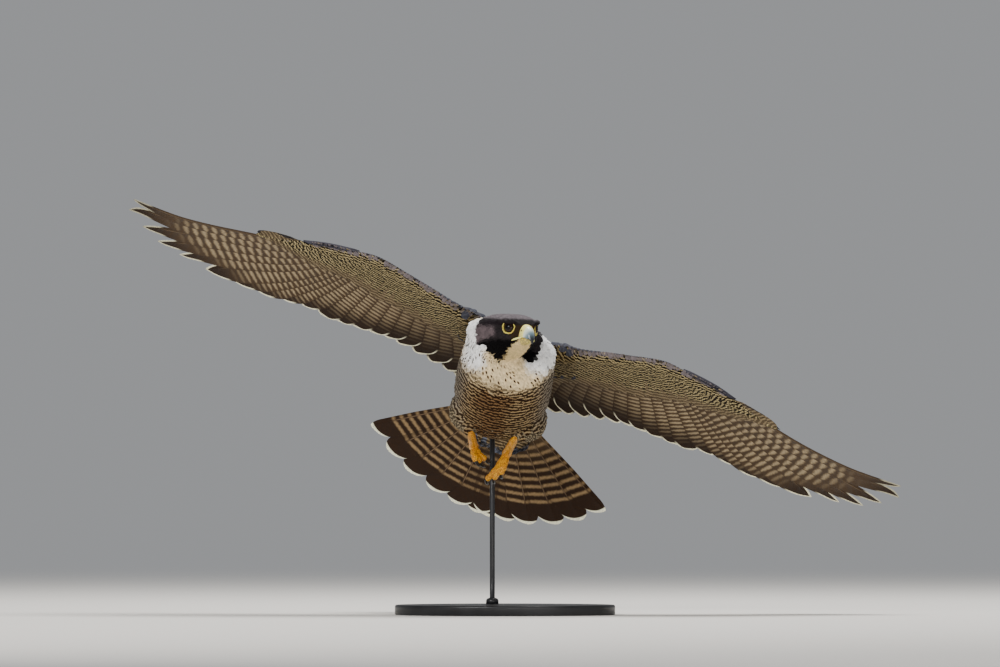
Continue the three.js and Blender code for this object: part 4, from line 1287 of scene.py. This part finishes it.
def makeCoverts(side, upper):
    look, c = covertLook, covertColours
    rows = np.random.default_rng(look["seed"] + (upper > 0) + 2 * (side > 0))
    number, end, length, half, barred = [], [], [], [], []
    for k, (stop, long, wide, step, bars) in enumerate(look["upper" if upper else "under"]):
        numbers = np.arange(-4.8 + 0.5 * step * (k % 2), 22.2, step)
        numbers = numbers + rows.normal(0, 0.08 * step, len(numbers))
        beyond = np.clip(numbers - 19, 0, None) * 15.0
        stops = stop - beyond * ramp(stop, 5, 40) + rows.normal(0, 0.04 * long, len(numbers))
        room = np.linalg.norm(onBone(boneFront, numbers) - onBone(boneRoot, numbers), axis=-1)
        keep = (stops > 2 - room) & (numbers > (-4.9 if stop > -6 else -3.6))
        number.append(numbers[keep])
        end.append(stops[keep])
        for store, value in ((length, long), (half, wide), (barred, bars)):
            store.append(np.full(keep.sum(), float(value)))
    number, end, length, half, barred = (np.concatenate(a) for a in (number, end, length, half, barred))
    n = len(number)
    length = length * rows.uniform(0.92, 1.08, n)
    half = half * mixed(1, 0.5, ramp(number, 18.5, 22))
    t = np.array(look["stations"])
    back = end[:, None] - length[:, None] * (1 - t)
    lean = rows.normal(0, 0.06, n)[:, None] * t
    shaft = covertSpot(number[:, None] + lean, back)
    grow = 1 + 0.3 * ramp(end, 30, 80)
    reach = (half * grow * rows.uniform(0.93, 1.07, n))[:, None] * np.array(look["shape"])
    sign = 1 if upper else -1
    lift = (-look["sink"] + look["rise"] * t)[None] + 0 * back
    profile = smallVane * (1, sign)

    def place(x, y, off):
        flesh = wingSkinOff(x, y, upper)
        behind = ramp(y - np.interp(x, boneRoot[:, 0], boneRoot[:, 1]), 2, 14) * look["remexDrop"]
        return wingPoint(side, x, y, flesh + sign * behind + off)

    thick = (look["thick"] * (1.3 - t))[None] + 0 * back
    grid, width = layVanes(place, shaft, reach, reach, sign * lift, thick, profile, cup=-sign * look["cup"] * 3)
    name = "coverts_%s_%s" % ("upper" if upper else "under", "left" if side > 0 else "right")
    piece = addVanes(name, grid, smallVane, plumage)
    shade = rows.uniform(0.86, 1.12, n)[:, None]
    far = ramp(end, 52, 74)
    if upper:
        ground = mixed(c["upper"], c["upperFar"], ramp(number, 8, 16) * ramp(end, 20, 60))
        mark, pitch = c["upperBar"], mixed(7.0, 8.0, far)
    else:
        ground, mark = mixed(c["buff"], c["grey"], far), mixed(c["dark"], c["greyBar"], far)
        room = np.linalg.norm(onBone(boneFront, number) - onBone(boneRoot, number), axis=-1)
        band = end + room + 1.6 * np.sin(2.3 * number) + 1.2 * np.sin(5.9 * number + 1)
        ground = mixed(ground, c["edge"], ramp(band, 9, 5))
        barred = barred * ramp(band, 4, 8)
        pitch = mixed(5.0, 5.8, far)
    wave = 0.9 * np.sin(1.9 * number + 0.06 * end) + 0.6 * np.sin(4.3 * number + 1.1 + 0.1 * end)
    seed = (wave - end) / pitch + rows.normal(0, look["shift"], n)
    down = spread(fromTip(grid[:, :, 2]), width.shape)
    addPlumageValues(piece, ground * shade, mark * shade, pitch, down, half, barred, 0 * half, seed % 1)
    place01 = np.stack([(number + 5) / 29.5, 0.5 + (end - 30) / 110], -1) * 0.96 + 0.02
    across = (width / half[:, None, None]).reshape(n, -1)
    down01 = (down / down.max(axis=(1, 2), keepdims=True)).reshape(n, -1)
    spots = [place01[:, :1] + 0.002 * across, place01[:, 1:] + 0.012 * (0.5 - down01)]
    addBakeMap(piece, np.stack(spots, -1).reshape(-1, 2))
    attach(piece, "root")
    print(name, n, "feathers")


for side in (1, -1):
    for upper in (False, True):
        makeCoverts(side, upper)

# Alula: three slate vanes along the front of the hand, wrapped over its edge
alulaLook = {
    "vanes": [(0, 68, 6.4, 2.4), (3, 54, 5.6, 3.6), (6, 40, 4.8, 4.8)],  # start, length, half width, inset, in mm
    "start": 204, "wrap": 0.85, "lift": (1.3, 0.45), "thick": 0.6, "cup": 0.5, "pitch": 9.0, "bars": 0.12,
    "stations": [0, 0.12, 0.3, 0.5, 0.7, 0.84, 0.93, 1], "shape": [0.5, 0.8, 1, 1, 0.92, 0.74, 0.5, 0.1],
    "slate": tone(74, 72, 80), "bar": tone(46, 44, 50),
}


def makeAlula(side):
    look, edge = alulaLook, wingShape["frontEdge"]
    t = np.array(look["stations"])
    start, length, half, inset = np.array(look["vanes"], float).T[..., None]
    x = look["start"] + start + length * t
    shaft = np.stack([x, along(edge, x) + inset], -1)
    reach = half * np.array(look["shape"])
    layer = np.arange(len(x))[:, None]

    def place(x, y, off):
        line = along(edge, x) + 1.5
        ahead = np.maximum(line - y, 0)
        off = wingSkinOff(x, np.maximum(y, line), True) + off - look["wrap"] * ahead
        return wingPoint(side, x, y + 0.6 * ahead, off)

    lift = look["lift"][0] + look["lift"][1] * layer + 0 * x
    grid, width = layVanes(place, shaft, reach, reach, lift, look["thick"] + 0 * x, smallVane, cup=-look["cup"])
    name = "alula_%s" % ("left" if side > 0 else "right")
    piece = addVanes(name, grid, smallVane, plumage)
    down, each = spread(fromTip(grid[:, :, 2]), width.shape), np.ones(len(x))
    slate, bar = np.outer(each, look["slate"]), np.outer(each, look["bar"])
    pitch, bars = look["pitch"] * each, look["bars"] * each
    addPlumageValues(piece, slate, bar, pitch, down, half[:, 0], bars, 0 * each, 0 * each)
    place01 = spread(0.2 + 0.3 * layer, width.shape) + 0.1 * smallVane[:, 0]
    addBakeMap(piece, np.stack([place01, 0.04 + 0.012 * down], -1).reshape(-1, 2))
    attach(piece, "root")
    print(name, "made")


for side in (1, -1):
    makeAlula(side)


# Eyes: ball with a bulging cornea, and the bare yellow ring round it
eyeLook = {
    "radius": 8.5, "cornea": 0.55, "pupil": 3.3, "ballGrid": (44, 48),
    "ringInner": 6.4, "ringOuter": 8.9, "ringTall": 0.95, "ringHeight": 1.9, "ringSides": 72,
    "black": colour(4, 4, 5), "iris": 5.2, "irisDark": colour(34, 20, 12), "irisPale": colour(62, 38, 22),
    "irisEdge": colour(12, 9, 8),
}


def makeEyeMaterial():
    look = eyeLook
    material, tree, shader = newMaterial(
        "eye_glass", Roughness=0.16, Specular_IOR_Level=0.12, Coat_Weight=0.16, Coat_Roughness=0.03)
    vane = parts(tree, attribute(tree, "vane"))
    rays = joined(tree, calc(tree, "MULTIPLY", vane[1], 3.0), calc(tree, "MULTIPLY", vane[0], 0.25))
    rays = remap(tree, noiseOver(tree, rays, 4.0, 3.0), 0.35, 0.65)
    iris = blendColour(tree, rays, look["irisDark"], look["irisPale"])
    made = blendColour(tree, remap(tree, vane[0], look["pupil"] - 0.25, look["pupil"] + 0.25), look["black"], iris)
    made = blendColour(tree, remap(tree, vane[0], look["iris"] - 0.6, look["iris"] + 0.1), made, look["irisEdge"])
    dress(tree, shader, made)
    return material


def makeBareSkin(name, base, deep, cell, depth, roughness):
    # bare skin with small scales, darker in their creases as painted shade and in some blotches of its own; cell and
    # depth in metres
    material, tree, shader = newMaterial(name, Roughness=roughness, Subsurface_Weight=0.08, Subsurface_Scale=0.002)
    spot = objectPlace(tree)
    warp = noiseOver(tree, spot, 0.25 / cell)
    scales = addNode(tree, "ShaderNodeTexVoronoi", {"Vector": spot, "Scale": 1.0 / cell}, feature="DISTANCE_TO_EDGE")
    crease = remap(tree, scales.outputs["Distance"], 0.02, 0.16)
    # painted shade: the deep colour fills the creases between the scales
    made = blendColour(tree, crease, deep, base)
    made = blendColour(tree, remap(tree, warp, 0.35, 0.7, (0, 0.35)), made, deep)
    rough = remap(tree, warp, 0.3, 0.7, (roughness - 0.08, roughness + 0.1))
    dress(tree, shader, made, rough, calc(tree, "ADD", crease, calc(tree, "MULTIPLY", warp, 0.4)), depth, 0.8)
    return material


eyeGlass = makeEyeMaterial()
ringSkin = makeBareSkin("orbital_skin", colour(250, 232, 128), colour(208, 172, 70), 0.0011, 0.0002, 0.42)


def eyeFrame(side):  # middle, outward direction and the two directions across it, in the head's own spots
    right = unit(np.cross((0, 0, 1), eyeWay))
    flip = np.array((side, 1, 1))
    return eyeMiddle * flip, eyeWay * flip, right * flip, np.cross(eyeWay, right) * flip


def makeEye(side):
    look = eyeLook
    middle, out, right, up = eyeFrame(side)
    rows, sides = look["ballGrid"]
    polar, turn = np.linspace(0.02, math.pi - 0.02, rows), turns(sides)
    gap = look["radius"] * np.sin(polar)
    bulge = np.where(polar < 1.0, look["cornea"] * np.clip(1 - (gap / 6.0) ** 2, 0, 1), 0)
    radius = look["radius"] + bulge
    across = np.cos(turn)[None, :, None] * right + np.sin(turn)[None, :, None] * up
    rings = (middle + (np.cos(polar) * radius)[:, None, None] * out
             + (np.sin(polar) * radius)[:, None, None] * across)
    corners, faces = loftSolid(inHead(rings))
    piece = addMesh("eye_ball_left" if side > 0 else "eye_ball_right", corners, faces, eyeGlass)
    front = np.where(polar < math.pi / 2, gap, 9)
    values = np.stack([*np.broadcast_arrays(front[:, None], turn[None]), np.zeros((rows, sides))], -1)
    addValues(piece, vane=np.concatenate([values.reshape(-1, 3), [(0, 0, 0), (9, 0, 0)]]))
    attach(piece, "root")
    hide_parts("eye_left" if side > 0 else "eye_right")
    # the ring: a soft cushion of skin from the ball's edge down to the face
    share, around = np.linspace(0, 1, 13), turns(look["ringSides"])
    wobble = 1 + 0.03 * np.sin(5 * around + 0.6) + 0.02 * np.sin(11 * around)
    wide = mixed(look["ringInner"], look["ringOuter"], share)[:, None] * wobble[None]
    high = math.sqrt(look["radius"] ** 2 - look["ringInner"] ** 2) - 0.1 - 0.5 * share
    high = high + look["ringHeight"] * np.sin(math.pi * share ** 0.85)

    def ringAt(wide, high):
        return (middle + high * out + (wide * np.cos(around))[..., None] * right
                + (wide * look["ringTall"] * np.sin(around))[..., None] * up)

    upper = ringAt(wide, high[:, None, None])
    lower = ringAt(wide[::-1], (high[::-1] - 3.4)[:, None, None])
    grid = np.concatenate([upper, lower])  # section points x around
    each, last = np.arange(len(around)), (len(grid) - 1) * len(around)
    after = (each + 1) % len(around)
    closing = np.stack([each + last, after + last, after, each], -1)
    corners = inHead(grid).reshape(-1, 3)
    faces = facedOut(corners, [gridFaces(len(grid), len(around)), closing])
    ring = addMesh("eye_ring_left" if side > 0 else "eye_ring_right", corners, faces, ringSkin)
    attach(ring, "root")


for side in (1, -1):
    makeEye(side)
print("eyes made")

# Bill: hooked upper half, lower half, the cere over the base and the fleshy gape
billLook = {
    # forward, half width, top, cutting edge
    "upper": [
        (24, 8.2, 5.6, -8.2), (28, 8.4, 6, -8.4), (32, 8, 5.2, -8.8), (36, 6.8, 3, -9.2), (39.5, 5.2, -0.4, -9.8),
        (42, 3.6, -4.6, -11.2), (43.6, 2.2, -9.2, -13.4), (44, 0.9, -13.2, -16.2)],
    "lower": [
        (22, 7.4, -9.6, -18.2), (28, 7.0, -9.8, -18), (32, 6.2, -10, -17.2), (35.5, 4.6, -10.2, -15.6),
        (37.8, 2, -10.6, -13)],
    "tooth": (39.2, 1.1, 0.9), "cere": (25.2, 34.2), "cereOver": 0.5, "nostril": (7.35, 30.2, -1.2),
    "gape": [(7.9, 31.5, -9.3), (9.6, 28.2, -9.8), (11.8, 24.6, -11.0), (13.8, 21.6, -12.2), (14.6, 19.4, -13.4)],
    "gapeRadii": [(0, 0.5), (0.25, 1.05), (0.6, 1.1), (0.85, 0.6), (1, 0.15)],
    # from the base of the bill to its tip, then the grain over them; the pale first colour runs further along the top
    # as a painted highlight
    "horn": [colour(250, 244, 196), colour(214, 224, 214), colour(122, 142, 152), colour(36, 40, 48)],
    "hornSteps": [(32.0, 37.0), (36.0, 41.5), (40.5, 46.5)], "hornGrain": colour(92, 104, 110),
    "cerePale": colour(254, 244, 168), "cereDeep": colour(238, 214, 108),
    "nostrilRim": colour(150, 116, 50), "nostrilShadow": colour(40, 26, 14), "nostrilPeg": colour(140, 112, 60),
}


def billRings(rows, count, sides, lowerHalf, grow=0.0, reach=None):
    spots = np.linspace(0, len(rows) - 1, count)
    if reach is not None:
        spots = np.interp(np.linspace(*reach, count), [row[0] for row in rows], np.arange(len(rows)))
    forward, half, top, bottom = through(rows, spots).T[..., None]
    angle = turns(sides)[None]
    c, s = np.cos(angle), np.sin(angle)
    far = s < 0 if lowerHalf else s > 0
    edge, crown = (top, bottom) if lowerHalf else (bottom, top)
    if not lowerHalf:
        at, wide, deep = billLook["tooth"]
        edge = edge - deep * np.exp(-((forward - at) / wide) ** 2) * (np.abs(c) > 0.55)
    up = np.where(far, edge + (crown - edge + grow) * np.abs(s) ** 0.85, edge + 0.35 * s)
    side = np.sign(c) * np.abs(c) ** 0.92 * (half + grow) * np.where(far, 1, 0.96)
    return np.stack([side, forward + 0 * c, up], -1)


def makeHornMaterial():
    look = billLook
    material, tree, shader = newMaterial("bill_horn", Coat_Weight=0.35, Coat_Roughness=0.15)
    spot = parts(tree, attribute(tree, "vane"))
    grain = joined(tree, calc(tree, "MULTIPLY", spot[0], 1.2), calc(tree, "MULTIPLY", spot[1], 0.2), spot[2])
    grain = noiseOver(tree, grain, 1.1, 4.0)
    # painted highlight: the top of the bill counts as nearer its base, so the pale cream runs along the culmen
    tipwardWithTopHighlight = calc(tree, "ADD", spot[1], calc(tree, "MULTIPLY", calc(tree, "ADD", spot[2], 4.0), -0.42))
    made = look["horn"][0]
    for step, beyond in zip(look["hornSteps"], look["horn"][1:]):
        made = blendColour(tree, remap(tree, tipwardWithTopHighlight, *step), made, beyond)
    made = blendColour(tree, remap(tree, grain, 0.35, 0.75, (0, 0.22)), made, look["hornGrain"])
    dress(tree, shader, made, remap(tree, grain, 0.3, 0.7, (0.26, 0.4)), grain, 0.0002, 0.5)
    return material


def makeCereMaterial():
    look = billLook
    material, tree, shader = newMaterial("cere_skin", Roughness=0.45, Subsurface_Weight=0.1, Subsurface_Scale=0.002)
    spot = attribute(tree, "vane")
    hole = addNode(tree, "ShaderNodeVectorMath", {0: spot, 1: look["nostril"]}, operation="DISTANCE")
    hole = hole.outputs["Value"]
    grain = noiseOver(tree, spot, 1.4, 3.0)
    made = blendColour(tree, remap(tree, grain, 0.3, 0.7), look["cerePale"], look["cereDeep"])
    made = blendColour(tree, remap(tree, hole, 2.1, 1.2, (0, 0.5)), made, look["nostrilRim"])
    # painted shadow: the nostril's hole is painted dark over a shallow dip in the cere
    made = blendColour(tree, remap(tree, hole, 1.25, 0.95), made, look["nostrilShadow"])
    made = blendColour(tree, remap(tree, hole, 0.5, 0.3), made, look["nostrilPeg"])
    height = calc(tree, "SUBTRACT", calc(tree, "MULTIPLY", grain, 0.5), remap(tree, hole, 1.6, 0.9))
    dress(tree, shader, made, None, height, 0.0005, 0.8)
    return material


billHorn, cereSkin = makeHornMaterial(), makeCereMaterial()
lowerHorn = makeBareSkin("lower_bill_horn", colour(206, 188, 108), colour(150, 136, 92), 0.004, 0.0001, 0.4)


def addHeadPiece(name, rings, material, slot, *nodes):
    corners, faces = loftSolid(inHead(rings))
    piece = addMesh(name, corners, faces, material)
    addValues(piece, vane=ringCorners(rings))
    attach(piece, "root")
    if nodes:
        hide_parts(*nodes)
    return piece


addHeadPiece("bill_upper_half", billRings(billLook["upper"], 60, 40, False), billHorn, "bill_horn", "bill_upper")
addHeadPiece("bill_lower_half", billRings(billLook["lower"], 36, 36, True), lowerHorn, "bill_horn", "bill_lower")


def makeCere():
    look = billLook
    rings = billRings(look["upper"], 26, 48, False, 0.0, look["cere"])
    table = np.linspace(0, 1, 26)
    rounded = np.sqrt(np.clip(1 - np.clip((table - 0.72) / 0.28, 0, 1) ** 2, 0, 1))
    swell = look["cereOver"] * rounded - 0.12 * (table > 0.99)
    middle = rings.mean(axis=1, keepdims=True)
    out = unit((rings - middle) * (1, 0, 1))
    rings = rings + out * swell[:, None, None]
    hole = np.linalg.norm(nearSide(rings) - look["nostril"], axis=-1)
    rise = 0.35 * ramp(hole, 3.4, 2.0) * ramp(hole, 1.2, 1.9) - 0.5 * ramp(hole, 1.5, 0.7)
    rings = rings + out * rise[..., None]
    corners, faces = loftSolid(inHead(rings))
    piece = addMesh("cere", corners, faces, cereSkin)
    addValues(piece, vane=nearSide(ringCorners(rings)))
    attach(piece, "root")
    for side in (1, -1):  # fleshy corner of the mouth
        path, t = smoothPath(np.array(look["gape"]) * (side, 1, 1), 24)
        gape = tubeRings(path, along(look["gapeRadii"], t), 16)
        corners, faces = loftSolid(inHead(gape))
        piece = addMesh("gape_left" if side > 0 else "gape_right", corners, faces, cereSkin)
        addValues(piece, vane=nearSide(ringCorners(gape)))
        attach(piece, "root")


makeCere()
print("bill made")

# Feet: shank and four loosely closed toes with their pads, and black claws
footLook = {
    "toeRoots": {1: (2, 44, 190), -1: (-37, 42, 198)},
    "shank": [(0, 2.4), (0.1, 3.9), (0.25, 4.8), (0.5, 4.9), (0.85, 5.4), (1, 6.0)],
    "toeEnds": {1: [(-24, -10, -31), (-16, -14, -30), (-7, -14, -24), (-8, 10, -16)],
                -1: [(8, -16, -18), (3, -22, -17), (14, -10, -14), (5, 12, -14)]},
    "toe": [(0, 4.6), (0.18, 4.2), (0.3, 4.7), (0.44, 3.8), (0.58, 4.3), (0.74, 3.4), (0.87, 3.9), (1, 2.6)],
    "sag": (0, -7, -3), "voxel": 0.0007, "smoothing": 3,
    "clawWay": {1: (0.1, 0.75, -0.65), -1: (0.45, 0.55, -0.7)}, "clawCurl": (0.2, 0.85, 0.5), "clawLength": 14.5,
    "claw": [(0, 2.2), (0.25, 2.0), (0.6, 1.35), (0.85, 0.7), (1, 0.12)],
    "clawDark": colour(16, 14, 14), "clawPale": colour(44, 38, 36),
}
footSkin = makeBareSkin("foot_skin", colour(232, 174, 2), colour(160, 100, 2), 0.0019, 0.0004, 0.48)


def makeClawHorn():
    material, tree, shader = newMaterial("claw_horn", Specular_IOR_Level=0.4)
    grain = noiseOver(tree, objectPlace(tree), 900.0, 3.0)
    made = blendColour(tree, grain, footLook["clawDark"], footLook["clawPale"])
    dress(tree, shader, made, remap(tree, grain, 0.3, 0.7, (0.34, 0.5)))
    return material


clawHorn = makeClawHorn()


def makeFoot(side):
    look = footLook
    name = "left" if side > 0 else "right"
    ankle, root = toBird(skinLook["ankles"][side]), toBird(look["toeRoots"][side])
    path, t = smoothPath([mixed(ankle, root, -0.12), mixed(ankle, root, 0.5), root], 20)
    solids = [loftSolid(tubeRings(path, along(look["shank"], t), 24))]
    claws = []
    way, curl = (unit(np.array(v)) @ bodyTurn for v in (look["clawWay"][side], look["clawCurl"]))
    sag = np.array(look["sag"]) @ bodyTurn
    for offset in look["toeEnds"][side]:
        end = toBird(np.array(look["toeRoots"][side]) + offset)
        knots = [mixed(root, end, share) + drop * sag for share, drop in ((0.25, 0.7), (0.5, 1), (0.78, 0.62))]
        path, t = smoothPath([root, *knots, end], 30)
        solids.append(loftSolid(tubeRings(path, along(look["toe"], t), 20)))
        length = look["clawLength"]
        knots = [end + way * length * on + curl * length * up for on, up in ((0.58, 0.1), (0.74, 0.32), (0.76, 0.56))]
        path, t = smoothPath([end - way * 1.5, end + way * length * 0.3 - curl * 0.6, *knots], 18)
        claws.append(loftSolid(tubeRings(path, along(look["claw"], t), 14)))
    flesh = meltedTogether(solids, look["voxel"], look["smoothing"])
    flesh.materials.append(footSkin)
    flesh.polygons.foreach_set("use_smooth", np.ones(len(flesh.polygons), bool))
    foot = bpy.data.objects.new("foot_skin_" + name, flesh)
    bpy.context.scene.collection.objects.link(foot)
    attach(foot, "root")
    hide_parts("foot_" + name)
    piece = addMesh("claws_" + name, *joinSolids(claws), clawHorn)
    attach(piece, "root")


for side in (1, -1):
    makeFoot(side)
print("feet made")

# Stand: oval base with rounded edges, a collar and the rod
standLook = {
    "half": (130, 100), "height": 12, "round": 2.2, "foot": (1.0, 0.9), "flat": 16.0,
    "rodAt": (-15, 63), "rod": 3.0, "collar": (7.5, 7.0),
    "paint": colour(44, 45, 48), "paintPale": colour(58, 59, 62),
}


def makeStandMetal():
    material, tree, shader = newMaterial("stand_paint", Metallic=0.35, Coat_Weight=0.15)
    fine, wide = noiseOver(tree, objectPlace(tree), 1400.0), noiseOver(tree, objectPlace(tree), 26.0, 4.0)
    made = blendColour(tree, remap(tree, wide, 0.3, 0.7), standLook["paint"], standLook["paintPale"])
    dress(tree, shader, made, remap(tree, wide, 0.3, 0.7, (0.36, 0.5)), fine, 0.00006, 0.5)
    return material


def turned(middle, rows, sides):  # a closed solid from rows of two half widths and a height
    (x, y), around = middle, turns(sides)
    rings = [[(x + wide * math.cos(a), y + deep * math.sin(a), z) for a in around] for wide, deep, z in rows]
    return loftSolid(toBird(np.array(rings)))


def makeStand():
    look = standLook
    metal = makeStandMetal()
    bevel = np.linspace(0, math.pi / 2, 7)
    (wide, deep), h, r = look["half"], look["height"], look["round"]
    inset, up = look["foot"]
    rows = [(inset, 0.0), (0.0, up)]
    rows += [(r * (1 - math.cos(a)), h - r + r * math.sin(a)) for a in bevel] + [(look["flat"], h)]
    corners, faces = turned((0, 0), [(wide - inset, deep - inset, z) for inset, z in rows], 160)
    base = addMesh("stand_base_plate", corners, faces, metal)
    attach(base, "root")
    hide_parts("stand_base")
    top = float(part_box("stand_rod")[1][2]) * 1000
    (wide, tall), thin = look["collar"], look["rod"]
    rows = [(wide - inset, h + tall * share) for inset, share in ((0, 0), (0, 0.55), (0.6, 0.75), (1.8, 0.92))]
    rows += [(thin + 0.9, h + tall), (thin, h + tall + 0.5), (thin, h + 30), (thin, top - 1), (thin - 0.6, top)]
    corners, faces = turned(look["rodAt"], [(radius, radius, z) for radius, z in rows], 40)
    rod = addMesh("stand_rod_fine", corners, faces, metal)
    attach(rod, "root")
    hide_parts("stand_rod")


makeStand()
print("stand made")


# Camera, floor and light
viewSetup = {"across": -5.9, "height": 332, "away": 20, "frameWidth": 1180}
stageLook = {
    "floor": colour(226, 223, 218), "fleck": colour(220, 217, 212), "solid": 0.9, "radius": 4.5, "innermost": 0.02,
    "sky": (0.9, 0.92, 0.95, 1), "skyStrength": 0.35,
}
lampTarget = (0, 0, 0.3)
lamps = {  # place, width and height, watts, tint
    "front_lamp": ((-1.6, -3.0, 1.7), (1.6, 1.2), 76, (1.0, 0.98, 0.95)),
    "low_lamp": ((1.2, -3.0, 0.35), (2.4, 0.5), 15, (1.0, 0.96, 0.9)),
    "top_lamp": ((0.3, 0.6, 2.6), (1.6, 1.2), 85, (1.0, 0.99, 0.97)),
}


def setView():
    data = bpy.data.cameras.new("camera")
    data.sensor_width = 36
    data.lens = 36 * viewSetup["away"] / (viewSetup["frameWidth"] * 0.001)
    data.clip_end = 60
    camera = bpy.data.objects.new("camera", data)
    camera.location = (viewSetup["across"] * 0.001, -viewSetup["away"], viewSetup["height"] * 0.001)
    camera.rotation_euler = (math.pi / 2, 0, 0)
    bpy.context.scene.collection.objects.link(camera)
    bpy.context.scene.camera = camera


def addLamp(name, place, size, watts, tint):
    data = bpy.data.lights.new(name, "AREA")
    data.shape, data.size, data.size_y = "RECTANGLE", size[0], size[1]
    data.energy, data.color = watts, tint
    lamp = bpy.data.objects.new(name, data)
    lamp.location = place
    lamp.visible_camera = False
    lamp.rotation_euler = (Vector(lampTarget) - Vector(place)).to_track_quat("-Z", "Y").to_euler()
    bpy.context.scene.collection.objects.link(lamp)


def makeStage():  # a round floor that fades out into the plain background
    look = stageLook
    angles = np.linspace(0, 2 * math.pi, 96, endpoint=False)
    radii = look["innermost"] * (look["radius"] / look["innermost"]) ** np.linspace(0, 1, 24)
    corners = [(r * math.cos(a), r * math.sin(a), 0.0) for r in radii for a in angles]
    faces = gridFaces(len(radii), len(angles))
    mesh = bpy.data.meshes.new("studio_floor")
    mesh.from_pydata(corners, [], faces.tolist())
    material, tree, shader = newMaterial("studio_paper", Roughness=0.85)
    spot = objectPlace(tree)
    x, y = parts(tree, spot)[:2]
    away = calc(tree, "SQRT", calc(tree, "ADD", calc(tree, "MULTIPLY", x, x), calc(tree, "MULTIPLY", y, y)))
    fleck = remap(tree, noiseOver(tree, spot, 60.0, 4.0), 0.3, 0.7, (0, 0.5))
    dress(tree, shader, blendColour(tree, fleck, look["floor"], look["fleck"]))
    tree.links.new(remap(tree, away, look["radius"], look["solid"]), shader.inputs["Alpha"])
    mesh.materials.append(material)
    floor = bpy.data.objects.new("studio_floor", mesh)
    bpy.context.scene.collection.objects.link(floor)


setView()
makeStage()
for name, lamp in lamps.items():
    addLamp(name, *lamp)
world = bpy.data.worlds.new("studio")
bpy.context.scene.world = world
world.use_nodes = True
sky = world.node_tree.nodes["Background"].inputs
sky["Color"].default_value, sky["Strength"].default_value = stageLook["sky"], stageLook["skyStrength"]
print("stage set")
